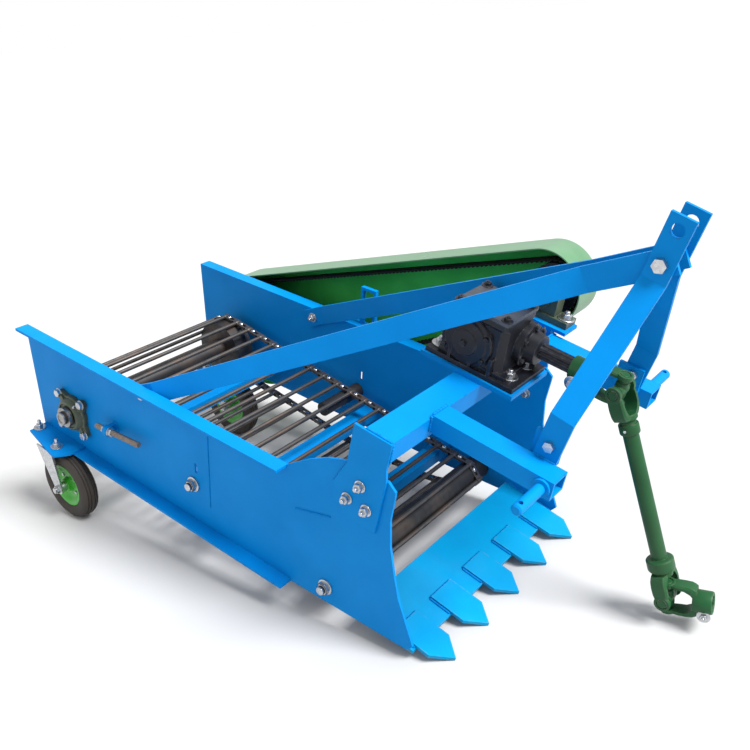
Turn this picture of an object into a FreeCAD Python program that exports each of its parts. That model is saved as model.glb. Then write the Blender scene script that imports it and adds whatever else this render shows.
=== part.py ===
import FreeCAD, Part
import math, os

# Tractor-mounted potato harvester (digger), millimetres.
# +X forward to the tractor, +Y the machine's left, +Z up.
# It stands on its share points and its two small wheels.
# Everything is drawn from an origin on the ground under the share points,
# midway between the side plates, and shifted at the end to the middle of
# the whole machine's box, on the ground.

V = FreeCAD.Vector

# ---- slope of the side plates (nose down) and of the hitch --------------
PLATE_SLOPE = 9.289          # degrees
HITCH_SLOPE = 16.0
SHARE_SLOPE = 19.4

# ---- side plates -------------------------------------------------------
PLATE_IN, PLATE_OUT = 297.0, 303.0
TOP_FLANGE, BOTTOM_FLANGE, FLANGE_T = 30.0, 35.0, 6.0
POST_OUT = 309.0

# ---- share -------------------------------------------------------------
BLADE_T, BLADE_S0, BLADE_S1 = 8.0, 73.0, 219.0
TOOTH_N, TOOTH_PITCH, TOOTH_W, TOOTH_POINT, TOOTH_L, TOOTH_T = 5, 125.4, 73.0, 43.0, 128.0, 8.0

# ---- conveyor ----------------------------------------------------------
CHAIN_Y0, CHAIN_Y1 = 231.0, 249.0
CHAIN_HALF = 6.0
ROD_D, ROD_N = 11.0, 43
DRIVE_C, DRIVE_R = (-1171.0, 119.0), 87.5      # plate coordinates, chain line
IDLER_C, IDLER_R, IDLER_ROLL = (-712.0, 115.0), 26.0, 19.5
FRONT_C, FRONT_R, FRONT_ROLL = (-301.0, 49.0), 38.0, 31.3
DRUM_R, DRUM_Y0, DRUM_Y1 = 80.0, 196.0, 256.0
REAR_SHAFT_R, REAR_TUBE_R = 17.5, 30.0

# ---- hitch -------------------------------------------------------------
HITCH_Y = 52.0
BEAM_X, BEAM_Z = -71.0, 497.3                   # beam's top front edge
BEAM_W, BEAM_H = 64.0, 45.0
TUBE_L, TUBE_W, TUBE_TOP, TUBE_H, TUBE_WALL = 265.0, 50.0, 8.0, 40.0, 5.0
TUBE_R_Y0 = -185.0
PIN_A, PIN_B, PIN_R, PIN_L = 244.0, -12.0, 11.0, 90.0
MAST_BOTTOM, MAST_TOP = (132.4, 431.5), (311.0, 866.0)
MAST_W, MAST_T = 48.0, 8.0
MAST_Y_LOW, MAST_Y_HIGH = -127.0, 25.0          # inner faces, right bar
TOP_HOLE_R = 12.75
STRUT_W, STRUT_T = 50.0, 8.0

# ---- gearbox and drive -------------------------------------------------
GEAR_X, GEAR_Z, GEAR_Y = -110.0, 582.0, 95.0
BASE_DROP = 60.0
SHAFT_R = 17.5
SMALL_PULLEY_R, BIG_PULLEY_R, PULLEY_Y0, PULLEY_Y1 = 60.0, 145.0, 372.0, 414.0
BELT_T = 9.0
COVER_Y0, COVER_Y1, COVER_T = 355.0, 455.0, 3.0
COVER_FRONT, COVER_FRONT_R, COVER_REAR_R = (-131.0, 585.0), 94.0, 178.0

# ---- wheels ------------------------------------------------------------
WHEEL_R, WHEEL_W, RIM_R, AXLE_R = 98.0, 48.0, 58.0, 8.0
WHEEL_RIGHT = (-1184.0, -340.0)
WHEEL_LEFT = (-1160.0, 235.0)

# ---- drive shaft with two joints ----------------------------------------
CROSS_1 = V(179.0, 95.0, 499.1)
TUBE_DIR = V(0.2586, 0, -0.966)
TUBE_LEN = 455.6
EAR_IN, EAR_OUT, EAR_HALF, EAR_ROOT = 26.5, 36.0, 16.5, 47.0
TRUNNION_R, RUN = 9.5, 0.05
END_YAW, END_PITCH, END_LEN = 10.0, 4.0, 88.0

# ------------------------------------------------------------------------
PS, PC = math.sin(math.radians(PLATE_SLOPE)), math.cos(math.radians(PLATE_SLOPE))
HT = V(math.cos(math.radians(HITCH_SLOPE)), 0, -math.sin(math.radians(HITCH_SLOPE)))
HN = V(math.sin(math.radians(HITCH_SLOPE)), 0, math.cos(math.radians(HITCH_SLOPE)))
YY = V(0, 1, 0)
nodes = {}


def uv(u, v):
    """Plate coordinates (along, above) to x, z."""
    return (u * PC + v * PS, -u * PS + v * PC)


def up3(u, v, y):
    x, z = uv(u, v)
    return V(x, y, z)


def prism(pts, y0, y1):
    """Polygon of (x, z) points, extruded from y0 to y1."""
    w = [V(p[0], y0, p[1]) for p in pts]
    return Part.Face(Part.makePolygon(w + [w[0]])).extrude(V(0, y1 - y0, 0))


def plate(pts, y0, y1):
    return prism([uv(*p) for p in pts], y0, y1)


def slab(o, e1, e2, e3, a, b, c):
    """Box with its own axes: a, b, c are (from, to) along e1, e2, e3."""
    w = [o + e1 * i + e2 * j + e3 * c[0] for i, j in
         ((a[0], b[0]), (a[1], b[0]), (a[1], b[1]), (a[0], b[1]))]
    return Part.Face(Part.makePolygon(w + [w[0]])).extrude(e3 * (c[1] - c[0]))


def cyl(p, q, r):
    return Part.makeCylinder(r, (q - p).Length, p, q - p)


def cone(p, q, r1, r2):
    return Part.makeCone(r1, r2, (q - p).Length, p, q - p)


def along_y(x, z, r, y0, y1):
    return Part.makeCylinder(r, y1 - y0, V(x, y0, z), YY)


def hexagon(p, d, flat, h):
    """Hexagon head or nut, standing on p along d."""
    d = V(d).normalize()
    e1 = d.cross(V(0, 0, 1))
    if e1.Length < 0.1:
        e1 = d.cross(V(1, 0, 0))
    e1.normalize()
    e2 = d.cross(e1)
    r = flat / math.sqrt(3.0)
    w = [p + e1 * (r * math.cos(k * math.pi / 3)) + e2 * (r * math.sin(k * math.pi / 3)) for k in range(6)]
    return Part.Face(Part.makePolygon(w + [w[0]])).extrude(d * h)


def fuse(first, *rest):
    s = first
    for r in rest:
        s = s.fuse(r)
    return s.removeSplitter()


def cut(s, *tools):
    for t in tools:
        s = s.cut(t)
    return s


def mirror(s, y=0.0):
    return s.mirror(V(0, y, 0), YY)


def put(name, *solids):
    out = []
    for s in solids:
        out += list(s.Solids)
    nodes[name] = out[0] if len(out) == 1 else Part.makeCompound(out)


def tangent_loop(c1, r1, c2, r2, y0, y1):
    """Belt line round two circles: c1 the rear one, c2 the front one."""
    dx, dz = c2[0] - c1[0], c2[1] - c1[1]
    d = math.hypot(dx, dz)
    base = math.atan2(dz, dx)
    k = math.acos((r1 - r2) / d)
    def at(c, r, t):
        return V(c[0] + r * math.cos(t), y0, c[1] + r * math.sin(t))
    a1, b1 = at(c1, r1, base + k), at(c2, r2, base + k)
    a2, b2 = at(c1, r1, base - k), at(c2, r2, base - k)
    edges = [Part.LineSegment(a1, b1).toShape(),
             Part.Arc(b1, at(c2, r2, base), b2).toShape(),
             Part.LineSegment(b2, a2).toShape(),
             Part.Arc(a2, at(c1, r1, base + math.pi), a1).toShape()]
    return Part.Face(Part.Wire(edges)).extrude(V(0, y1 - y0, 0))


# ======================= side plates and posts ==========================
# outline of the right plate: along u, above v
OUTLINE = [(-1336, 10), (-1354, 311), (-415, 309), (-351, 353), (-301, 379), (-251, 395),
           (-156, 392), (-138, 376), (-139, 363), (-146, 307), (-142, 246), (-128, 180),
           (-115, 130), (-71, 30), (-84, 13), (-402, 4)]
POST = [(-237, 489), (-149, 479), (-158, 420), (-157, 392), (-172, 295), (-178, 262),
        (-215, 262), (-285, 290), (-285, 335), (-251, 395)]
RX, RZ = uv(*DRIVE_C)
IX, IZ = uv(*IDLER_C)
FX, FZ = uv(*FRONT_C)

right_plate = fuse(
    plate(OUTLINE, -PLATE_OUT, -PLATE_IN),
    plate([(-1353.6, 304), (-415, 303), (-415, 309), (-1354, 311)], -PLATE_OUT - TOP_FLANGE, -PLATE_OUT),
    plate([(-1336, 10), (-402, 4), (-402, 10), (-1336, 16)], -PLATE_OUT - BOTTOM_FLANGE, -PLATE_OUT))
right_plate = cut(right_plate,
                  along_y(RX, RZ, 22.0, -320, -290),
                  along_y(IX, IZ, 10.2, -320, -290),
                  along_y(FX, FZ, 10.2, -320, -290),
                  plate([(-706, 150), (-698, 150), (-698, 176), (-706, 176)], -320, -290))
put("side_plate_right", right_plate)
put("side_plate_left", mirror(right_plate))
right_post = plate(POST, -POST_OUT, -PLATE_OUT)
put("beam_post_right", right_post)
put("beam_post_left", mirror(right_post))

# ======================= share ==========================================
ST, SN = (math.cos(math.radians(SHARE_SLOPE)), math.sin(math.radians(SHARE_SLOPE)))
SB = V(-ST, 0, SN)                      # backwards, up the slope
SU = V(SN, 0, ST)                       # square to the slope, upwards
O0 = V(0, 0, 0)
put("share_plate", slab(O0, SB, YY, SU, (BLADE_S0, BLADE_S1), (-PLATE_IN, PLATE_IN), (-BLADE_T, 0)))
teeth = []
for k in range(TOOTH_N):
    yc = (k - (TOOTH_N - 1) / 2) * TOOTH_PITCH
    # slope distance, offset across
    pts = [(0, 0), (TOOTH_POINT, TOOTH_W / 2), (TOOTH_L, TOOTH_W / 2), (TOOTH_L, -TOOTH_W / 2), (TOOTH_POINT, -TOOTH_W / 2)]
    w = [SB * s + YY * (yc + a) for s, a in pts]
    teeth.append(Part.Face(Part.makePolygon(w + [w[0]])).extrude(SU * TOOTH_T))
put("share_teeth", *teeth)

# ======================= frame members ==================================
HO = V(BEAM_X, 0, BEAM_Z)               # origin of the hitch's own axes


def H(a, b, y=0.0):
    return HO + HT * a + HN * b + YY * y


put("cross_beam", slab(HO, HT, YY, HN, (-BEAM_W, 0), (-PLATE_OUT, PLATE_OUT), (-BEAM_H, 0)))
# members under the top run of the conveyor: along u, above v
members = []
for u0, v0 in ((-1045, 62), (-660, 62), (-410, 62)):
    members.append(plate([(u0 - 20, v0 - 15), (u0 + 20, v0 - 15), (u0 + 20, v0 + 15), (u0 - 20, v0 + 15)],
                         -PLATE_IN, PLATE_IN))
put("cross_members", *members)

for side, y0 in (("right", TUBE_R_Y0), ("left", 2 * HITCH_Y - TUBE_R_Y0 - TUBE_W)):
    y1 = y0 + TUBE_W
    t = slab(HO, HT, YY, HN, (0, TUBE_L), (y0, y1), (TUBE_TOP - TUBE_H, TUBE_TOP))
    t = cut(t, slab(HO, HT, YY, HN, (6, TUBE_L + 5), (y0 + TUBE_WALL, y1 - TUBE_WALL),
                    (TUBE_TOP - TUBE_H + TUBE_WALL, TUBE_TOP - TUBE_WALL)))
    put("hitch_tube_" + side, t)
    out = -1 if side == "right" else 1
    face = y0 if side == "right" else y1
    p = H(PIN_A, PIN_B, face)
    d = YY * out
    pin = fuse(cyl(p, p + d * 6, 18.0), cyl(p + d * 6, p + d * (PIN_L - 3), PIN_R),
               cone(p + d * (PIN_L - 3), p + d * PIN_L, PIN_R, PIN_R - 3))
    pin = cut(pin, cyl(p + d * (PIN_L - 14) - HN * 20, p + d * (PIN_L - 14) + HN * 20, 4.5))
    put("hitch_pin_" + side, pin)

# mast bars: distance up the bar q, inner face y
MB, MT = V(MAST_BOTTOM[0], 0, MAST_BOTTOM[1]), V(MAST_TOP[0], 0, MAST_TOP[1])
MD = (MT - MB).normalize()
MW = MD.cross(YY).normalize()           # across the bar, in the side view
ML = (MT - MB).Length
Q_LOW, Q_HIGH = 107.0, 344.0
lean = math.atan2(MAST_Y_HIGH - MAST_Y_LOW, Q_HIGH - Q_LOW)
dq = MAST_T * math.tan(lean / 2)
prof = [(0, MAST_Y_LOW), (Q_LOW, MAST_Y_LOW), (Q_HIGH, MAST_Y_HIGH), (ML, MAST_Y_HIGH),
        (ML, MAST_Y_HIGH - MAST_T), (Q_HIGH + dq, MAST_Y_HIGH - MAST_T),
        (Q_LOW + dq, MAST_Y_LOW - MAST_T), (0, MAST_Y_LOW - MAST_T)]
w = [MB + MD * q + YY * y - MW * (MAST_W / 2) for q, y in prof]
bar = Part.Face(Part.makePolygon(w + [w[0]])).extrude(MW * MAST_W)
TOP_HOLE = MB + MD * (ML - 26.0)
MAST_BOLT = MB + MD * (ML - 92.0)
LOW_BOLT = MB + MD * 46.0
bar = cut(bar, along_y(TOP_HOLE.x, TOP_HOLE.z, TOP_HOLE_R, -20, 60),
          along_y(MAST_BOLT.x, MAST_BOLT.z, 8.2, -20, 60),
          along_y(LOW_BOLT.x, LOW_BOLT.z, 6.2, -150, -110))
put("mast_bar_right", bar)
put("mast_bar_left", mirror(bar, HITCH_Y))
# lugs behind the foot of each bar, with the bolt that holds it
lugs, foot_bolts = [], []
for flip in (False, True):
    lug = slab(V(LOW_BOLT.x - 8, 0, LOW_BOLT.z), HT, YY, HN, (-28, 28), (MAST_Y_LOW, MAST_Y_LOW + 8), (-34, 20))
    lug = cut(lug, along_y(LOW_BOLT.x, LOW_BOLT.z, 6.2, -150, -100))
    fb = fuse(along_y(LOW_BOLT.x, LOW_BOLT.z, 6.0, -142, -108),
              hexagon(V(LOW_BOLT.x, -135, LOW_BOLT.z), V(0, -1, 0), 19, 8),
              hexagon(V(LOW_BOLT.x, -119, LOW_BOLT.z), V(0, 1, 0), 19, 8))
    lugs.append(mirror(lug, HITCH_Y) if flip else lug)
    foot_bolts.append(mirror(fb, HITCH_Y) if flip else fb)
put("mast_lugs", *lugs)

# struts from the side plates to the mast
SX0, SZ0 = uv(-877, 287)
S0 = V(SX0, 0, SZ0)
S1 = V(MAST_BOLT.x, 0, MAST_BOLT.z)
SD = (S1 - S0).normalize()
SW = SD.cross(YY).normalize()
SL = (S1 - S0).Length
BEND_1, BEND_2 = 40.0, SL - 150.0
yA, yB = -PLATE_IN, MAST_Y_HIGH          # outer faces at the two ends
sl = math.atan2(yB - yA, BEND_2 - BEND_1)
ds = STRUT_T * math.tan(sl / 2)
prof = [(-28, yA), (BEND_1, yA), (BEND_2, yB), (SL + 24, yB), (SL + 24, yB + STRUT_T),
        (BEND_2 - ds, yB + STRUT_T), (BEND_1 - ds, yA + STRUT_T), (-28, yA + STRUT_T)]
w = [S0 + SD * q + YY * y - SW * (STRUT_W / 2) for q, y in prof]
strut = Part.Face(Part.makePolygon(w + [w[0]])).extrude(SW * STRUT_W)
strut = cut(strut, along_y(S1.x, S1.z, 8.2, 0, 60))
put("strut_right", strut)
# the left strut ends at the same place on the other bar
yB2 = 2 * HITCH_Y - MAST_Y_HIGH
yA2 = PLATE_IN
sl2 = math.atan2(yA2 - yB2, BEND_2 - BEND_1)
ds2 = STRUT_T * math.tan(sl2 / 2)
prof = [(-28, yA2), (BEND_1, yA2), (BEND_2, yB2), (SL + 24, yB2), (SL + 24, yB2 - STRUT_T),
        (BEND_2 - ds2, yB2 - STRUT_T), (BEND_1 - ds2, yA2 - STRUT_T), (-28, yA2 - STRUT_T)]
w = [S0 + SD * q + YY * y - SW * (STRUT_W / 2) for q, y in prof]
strut = Part.Face(Part.makePolygon(w + [w[0]])).extrude(SW * STRUT_W)
strut = cut(strut, along_y(S1.x, S1.z, 8.2, 40, 110))
put("strut_left", strut)
# the bolt through mast and struts, with its spacer
yo = MAST_Y_HIGH - MAST_T
mb = fuse(along_y(S1.x, S1.z, 8.0, yo - 2, 2 * HITCH_Y - yo + 12),
          hexagon(V(S1.x, yo, S1.z), V(0, -1, 0), 24, 10),
          hexagon(V(S1.x, 2 * HITCH_Y - yo, S1.z), YY, 24, 12),
          along_y(S1.x, S1.z, 14.0, MAST_Y_HIGH + STRUT_T, yB2 - STRUT_T))
put("mast_bolts", mb, *foot_bolts)

# ======================= gearbox ========================================
GO = V(GEAR_X, 0, GEAR_Z)


def G(a, b, y=0.0):
    return GO + HT * a + HN * b + YY * y


beam_drop = (HO - GO).dot(HN)            # beam's top, in the gearbox's axes
put("gearbox_mount", slab(GO, HT, YY, HN, (-92, 134), (-14, 132), (beam_drop, -BASE_DROP)))
house = fuse(
    slab(GO, HT, YY, HN, (-85, 128), (-8, 126), (-BASE_DROP, -BASE_DROP + 12)),
    slab(GO, HT, YY, HN, (-42, 84), (4, 108), (-50, 72)),
    along_y(GEAR_X, GEAR_Z, 60.0, -3, 121),
    along_y(GEAR_X, GEAR_Z, 34.0, -10, 132),
    cyl(G(70, 0, GEAR_Y), G(100, 0, GEAR_Y), 46.0),
    cyl(G(98, 0, GEAR_Y), G(124, 0, GEAR_Y), 33.0))
house = cut(house, cyl(G(110, 0, GEAR_Y), G(130, 0, GEAR_Y), SHAFT_R + RUN),
            along_y(GEAR_X, GEAR_Z, SHAFT_R + RUN, 118, 140))
put("gearbox_housing", house)
put("gearbox_cover", slab(GO, HT, YY, HN, (-43, 86), (-6, 112), (72, 80)))
put("input_shaft", fuse(cyl(G(110, 0, GEAR_Y), G(196, 0, GEAR_Y), SHAFT_R),
                        cyl(G(196, 0, GEAR_Y), G(228, 0, GEAR_Y), SHAFT_R - 1.5)))

# output shaft to the small pulley, on a pillow block
put("output_shaft", along_y(GEAR_X, GEAR_Z, SHAFT_R, 118, PULLEY_Y1 + 10))
put("pillow_bracket", fuse(
    slab(GO, HT, YY, HN, (-84, 90), (285, 345), (-55.6, -47.6)),
    slab(GO, HT, YY, HN, (-20, 56), (285, 309), (beam_drop, -55.6))))
pb = fuse(slab(GO, HT, YY, HN, (-83, 83), (299, 345), (-47.6, -32)),
          slab(GO, HT, YY, HN, (-46, 46), (304, 340), (-32, 0)),
          along_y(GEAR_X, GEAR_Z, 46.0, 304, 340),
          along_y(GEAR_X, GEAR_Z, 27.0, 298, 346))
pb = cut(pb, along_y(GEAR_X, GEAR_Z, SHAFT_R + RUN, 280, 360))
put("pillow_block", pb)


def pulley(x, z, r, bore):
    p = fuse(along_y(x, z, r, PULLEY_Y0, PULLEY_Y1), along_y(x, z, 32.0, PULLEY_Y0 - 6, PULLEY_Y1 + 6))
    return cut(p, along_y(x, z, bore + RUN, PULLEY_Y0 - 30, PULLEY_Y1 + 30))


put("drive_pulley", pulley(GEAR_X, GEAR_Z, SMALL_PULLEY_R, SHAFT_R))
put("driven_pulley", pulley(RX, RZ, BIG_PULLEY_R, REAR_SHAFT_R))
belts = []
for y0 in (PULLEY_Y0 + 3, PULLEY_Y0 + 23):
    o = tangent_loop((RX, RZ), BIG_PULLEY_R + BELT_T, (GEAR_X, GEAR_Z), SMALL_PULLEY_R + BELT_T, y0, y0 + 16)
    i = tangent_loop((RX, RZ), BIG_PULLEY_R + 0.4, (GEAR_X, GEAR_Z), SMALL_PULLEY_R + 0.4, y0 - 1, y0 + 17)
    belts.append(o.cut(i))
put("drive_belts", *belts)

cover = tangent_loop((RX, RZ), COVER_REAR_R, COVER_FRONT, COVER_FRONT_R, COVER_Y0, COVER_Y1)
cover = cover.cut(tangent_loop((RX, RZ), COVER_REAR_R - COVER_T, COVER_FRONT, COVER_FRONT_R - COVER_T,
                               COVER_Y0 - 5, COVER_Y1 - COVER_T))
put("belt_cover", cover)
# straps that carry the cover: from the left plate out to the cover's closed face
straps = []
# middle along, middle above, on the left plate's outer side
for u0, v0 in ((-1000, 235), (-800, 228)):
    s = fuse(plate([(u0 - 20, v0 - 3), (u0 + 20, v0 - 3), (u0 + 20, v0 + 3), (u0 - 20, v0 + 3)],
                   PLATE_OUT, COVER_Y1 - COVER_T),
             plate([(u0 - 20, v0 - 34), (u0 + 20, v0 - 34), (u0 + 20, v0 + 3), (u0 - 20, v0 + 3)],
                   COVER_Y1 - COVER_T - 5, COVER_Y1 - COVER_T))
    straps.append(s)
put("cover_brackets", *straps)
# hoop of flat bar standing on the left plate's top flange: outer corners along, height above
HOOP_U0, HOOP_U1, HOOP_TOP, HOOP_BAR = -729.0, -679.0, 418.0, 8.0


def flange_top(u):
    return 311.0 - 2.0 * (u + 1354.0) / 939.0


hoop = plate([(HOOP_U0, flange_top(HOOP_U0)), (HOOP_U0 + HOOP_BAR, flange_top(HOOP_U0 + HOOP_BAR)),
              (HOOP_U0 + HOOP_BAR, HOOP_TOP - HOOP_BAR), (HOOP_U1 - HOOP_BAR, HOOP_TOP - HOOP_BAR),
              (HOOP_U1 - HOOP_BAR, flange_top(HOOP_U1 - HOOP_BAR)), (HOOP_U1, flange_top(HOOP_U1)),
              (HOOP_U1, HOOP_TOP), (HOOP_U0, HOOP_TOP)], 316, 328)
put("flange_hoop", hoop)

# ======================= conveyor drive and rollers =====================
put("rear_drive_shaft", fuse(along_y(RX, RZ, REAR_SHAFT_R, -346, PULLEY_Y1 + 10),
                             along_y(RX, RZ, REAR_TUBE_R, -DRUM_Y0, DRUM_Y0)))
drum = cut(along_y(RX, RZ, DRUM_R, -DRUM_Y1, -DRUM_Y0), along_y(RX, RZ, REAR_SHAFT_R + RUN, -280, -180))
put("drive_drums", drum, mirror(drum))

U1, V1 = V(PC, 0, -PS), V(PS, 0, PC)


def bearing():
    o = V(RX, 0, RZ)
    b = fuse(slab(o, U1, YY, V1, (-58, 58), (-313, -303), (-58, 58)),
             cone(V(RX, -313, RZ), V(RX, -330, RZ), 46, 38))
    b = cut(b, along_y(RX, RZ, REAR_SHAFT_R + RUN, -350, -290))
    return b


right_bearing = bearing()
# the corners of the square flange are taken off at 45 degrees
d45 = (U1 + V1).normalize()
e45 = (U1 - V1).normalize()
for d in (d45, e45, d45 * -1, e45 * -1):
    t = d.cross(YY)
    right_bearing = right_bearing.cut(slab(V(RX, 0, RZ), d, YY, t, (70, 100), (-314, -302), (-60, 60)))
put("bearing_right", right_bearing)
put("bearing_left", mirror(right_bearing))
collar = cut(along_y(RX, RZ, 27.0, -341, -330), along_y(RX, RZ, REAR_SHAFT_R + RUN, -350, -300))
put("locking_collars", collar, mirror(collar))

# chain take-up: lug on the plate, threaded rod and nuts
TK = -326.0
ra, rb = up3(-1048, 142.3, TK), up3(-880, 157.4, TK)
td = (rb - ra).normalize()
lug = plate([(-1007, 133), (-993, 133), (-993, 160), (-1007, 160)], -340, -PLATE_OUT)
n1, n2 = up3(-1007, 146, TK), up3(-993, 147.2, TK)
rod = fuse(cyl(ra, rb, 7.5), hexagon(n1, td * -1, 21, 10), hexagon(n2, td, 21, 10))
take = fuse(lug, rod)
put("takeup_right", take)
put("takeup_left", mirror(take))

# rollers: short ones under the top run, a long one in front
idler = fuse(along_y(IX, IZ, IDLER_ROLL, -PLATE_IN, -150),
             along_y(IX, IZ, 10.0, -322, -PLATE_IN),
             along_y(IX, IZ, 19.0, -307, -PLATE_OUT),
             hexagon(V(IX, -307, IZ), V(0, -1, 0), 26, 11))
put("idler_rollers", idler, mirror(idler))
front = fuse(along_y(FX, FZ, FRONT_ROLL, -PLATE_IN, PLATE_IN),
             along_y(FX, FZ, 10.0, -320, 320),
             along_y(FX, FZ, 18.0, -306, -PLATE_OUT), along_y(FX, FZ, 18.0, PLATE_OUT, 306),
             hexagon(V(FX, -306, FZ), V(0, -1, 0), 26, 10), hexagon(V(FX, 306, FZ), YY, 26, 10))
put("front_roller", front)

# ======================= conveyor web ===================================
# one closed line round drum, idler, front roller and the hanging return run;
# tangents between circles, as (u, v) with the outward side known


def tangent_pts(c1, r1, c2, r2, side):
    """Outer tangent of two circles; side +1 above, -1 below, going +u."""
    dx, dz = c2[0] - c1[0], c2[1] - c1[1]
    d = math.hypot(dx, dz)
    base = math.atan2(dz, dx)
    k = math.acos((r1 - r2) / d) * side
    return ((c1[0] + r1 * math.cos(base + k), c1[1] + r1 * math.sin(base + k)),
            (c2[0] + r2 * math.cos(base + k), c2[1] + r2 * math.sin(base + k)), base + k)


def web_line(off):
    """Points of the line moved outwards by off."""
    dr, ir, fr = DRIVE_R + off, IDLER_R + off, FRONT_R + off
    _, _, t1 = tangent_pts(DRIVE_C, dr, IDLER_C, ir, 1)
    _, _, t2 = tangent_pts(IDLER_C, ir, FRONT_C, fr, 1)
    pts = []
    # hanging return run, from the front roller back to the drum: u, v
    sag = [(-413, -15), (-551, -17), (-713, -19), (-850, 3), (-960, 18), (-1060, 27)]
    def arc(c, r, a0, a1, n):
        for i in range(n + 1):
            a = a0 + (a1 - a0) * i / n
            pts.append((c[0] + r * math.cos(a), c[1] + r * math.sin(a)))
    end_front = math.radians(-90 - 15)
    # drum: from its underside round the back to the top tangent (clockwise)
    a0 = math.radians(-86.0)
    a1 = t1 - 2 * math.pi
    arc(DRIVE_C, dr, a0, a1, 22)
    tm = (t1 + t2) / 2
    pts.append((IDLER_C[0] + ir * math.cos(tm), IDLER_C[1] + ir * math.sin(tm)))
    arc(FRONT_C, fr, t2, end_front, 12)
    for i, (u, v) in enumerate(sag):
        pu, pv = sag[i - 1] if i else (FRONT_C[0] - 10, FRONT_C[1] - FRONT_R)
        nu, nv = sag[i + 1] if i + 1 < len(sag) else (DRIVE_C[0] + 6, DRIVE_C[1] - DRIVE_R)
        tx, tz = nu - pu, nv - pv
        L = math.hypot(tx, tz)
        # outward is below here
        pts.append((u - off * tz / L, v + off * tx / L))
    return pts


outer, inner, middle = web_line(CHAIN_HALF), web_line(-CHAIN_HALF), web_line(0.0)
ribbon = plate(outer, -CHAIN_Y1, -CHAIN_Y0).cut(plate(inner, -CHAIN_Y1 - 1, -CHAIN_Y0 + 1))
put("conveyor_chain_right", ribbon)
put("conveyor_chain_left", mirror(ribbon))
# the rods stand at even steps along the middle line
ring = middle + [middle[0]]
seg = [math.hypot(b[0] - a[0], b[1] - a[1]) for a, b in zip(ring, ring[1:])]
total = sum(seg)
rods = []
for k in range(ROD_N):
    s = total * (k + 0.35) / ROD_N
    i = 0
    while s > seg[i]:
        s -= seg[i]
        i += 1
    a, b = ring[i], ring[i + 1]
    u, v = a[0] + (b[0] - a[0]) * s / seg[i], a[1] + (b[1] - a[1]) * s / seg[i]
    x, z = uv(u, v)
    rods.append(along_y(x, z, ROD_D / 2, -CHAIN_Y0, CHAIN_Y0))
put("conveyor_rods", *rods)

# ======================= wheels =========================================


def wheel(x, y, name):
    z = WHEEL_R
    h = WHEEL_W / 2
    # tyre section: radius, half width (flat tread between two shoulders)
    sec = [(RIM_R, -16), (RIM_R + 14, -h + 1), (RIM_R + 26, -h), (WHEEL_R - 6, -h + 4), (WHEEL_R, -10),
           (WHEEL_R, 10), (WHEEL_R - 6, h - 4), (RIM_R + 26, h), (RIM_R + 14, h - 1), (RIM_R, 16)]
    w = [V(x + 0, y + a, z + r) for r, a in sec]
    f = Part.Face(Part.makePolygon(w + [w[0]]))
    put("tyre_" + name, f.revolve(V(x, y, z), YY, 360))
    # rim section: radius, across (dished each side of a centre disc)
    sec = [(AXLE_R + RUN, -20), (20, -20), (20, -5), (40, -3), (50, -16), (RIM_R, -16), (RIM_R, 16),
           (50, 16), (40, 3), (20, 5), (20, 20), (AXLE_R + RUN, 20)]
    w = [V(x, y + a, z + r) for r, a in sec]
    f = Part.Face(Part.makePolygon(w + [w[0]]))
    put("rim_" + name, f.revolve(V(x, y, z), YY, 360))


wheel(WHEEL_RIGHT[0], WHEEL_RIGHT[1], "right")
wheel(WHEEL_LEFT[0], WHEEL_LEFT[1], "left")


def flange_top(u):
    return 10 + 6 * (-402 - u) / 934.0


# right bracket plate, on top of the bottom flange: u, y
pts = [(-1325, -PLATE_OUT), (-1325, -357), (-1190, -384), (-1172, -384), (-1150, -350), (-1150, -PLATE_OUT)]
w = [up3(u, flange_top(u), y) for u, y in pts]
put("wheel_bracket_right", Part.Face(Part.makePolygon(w + [w[0]])).extrude(V1 * 5))


def leg(x, pts, y0, y1):
    """Fork leg: polygon in the side view, with a round axle end."""
    p = prism(pts, y0, y1)
    p = fuse(p, along_y(x, WHEEL_R, 16.0, y0, y1))
    return cut(p, along_y(x, WHEEL_R, AXLE_R + RUN, y0 - 1, y1 + 1))


xr, yr = WHEEL_RIGHT
lo = [uv(-1262, flange_top(-1262)), uv(-1196, flange_top(-1196))]
outer_leg = leg(xr, [lo[0], lo[1], (xr + 15, WHEEL_R + 5), (xr - 15, WHEEL_R - 5)], -379.0, -374.0)
li = [uv(-1262, flange_top(-1262) - 6), uv(-1196, flange_top(-1196) - 6)]
inner_leg = leg(xr, [li[0], li[1], (xr + 15, WHEEL_R + 5), (xr - 15, WHEEL_R - 5)], -309.0, -304.0)
put("fork_right", outer_leg, inner_leg)
axle = fuse(along_y(xr, WHEEL_R, AXLE_R, -392, -296),
            hexagon(V(xr, -379, WHEEL_R), V(0, -1, 0), 19, 8),
            hexagon(V(xr, -304, WHEEL_R), YY, 19, 8),
            along_y(xr, WHEEL_R, 14.0, -374, -360.1), along_y(xr, WHEEL_R, 14.0, -319.9, -309))
put("wheel_axle_right", axle)

# left bracket plate, under the left plate's edge at its rear corner
xl, yl = WHEEL_LEFT


def edge_bottom(u):
    return 10 - 6 * (u + 1336) / 934.0


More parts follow.
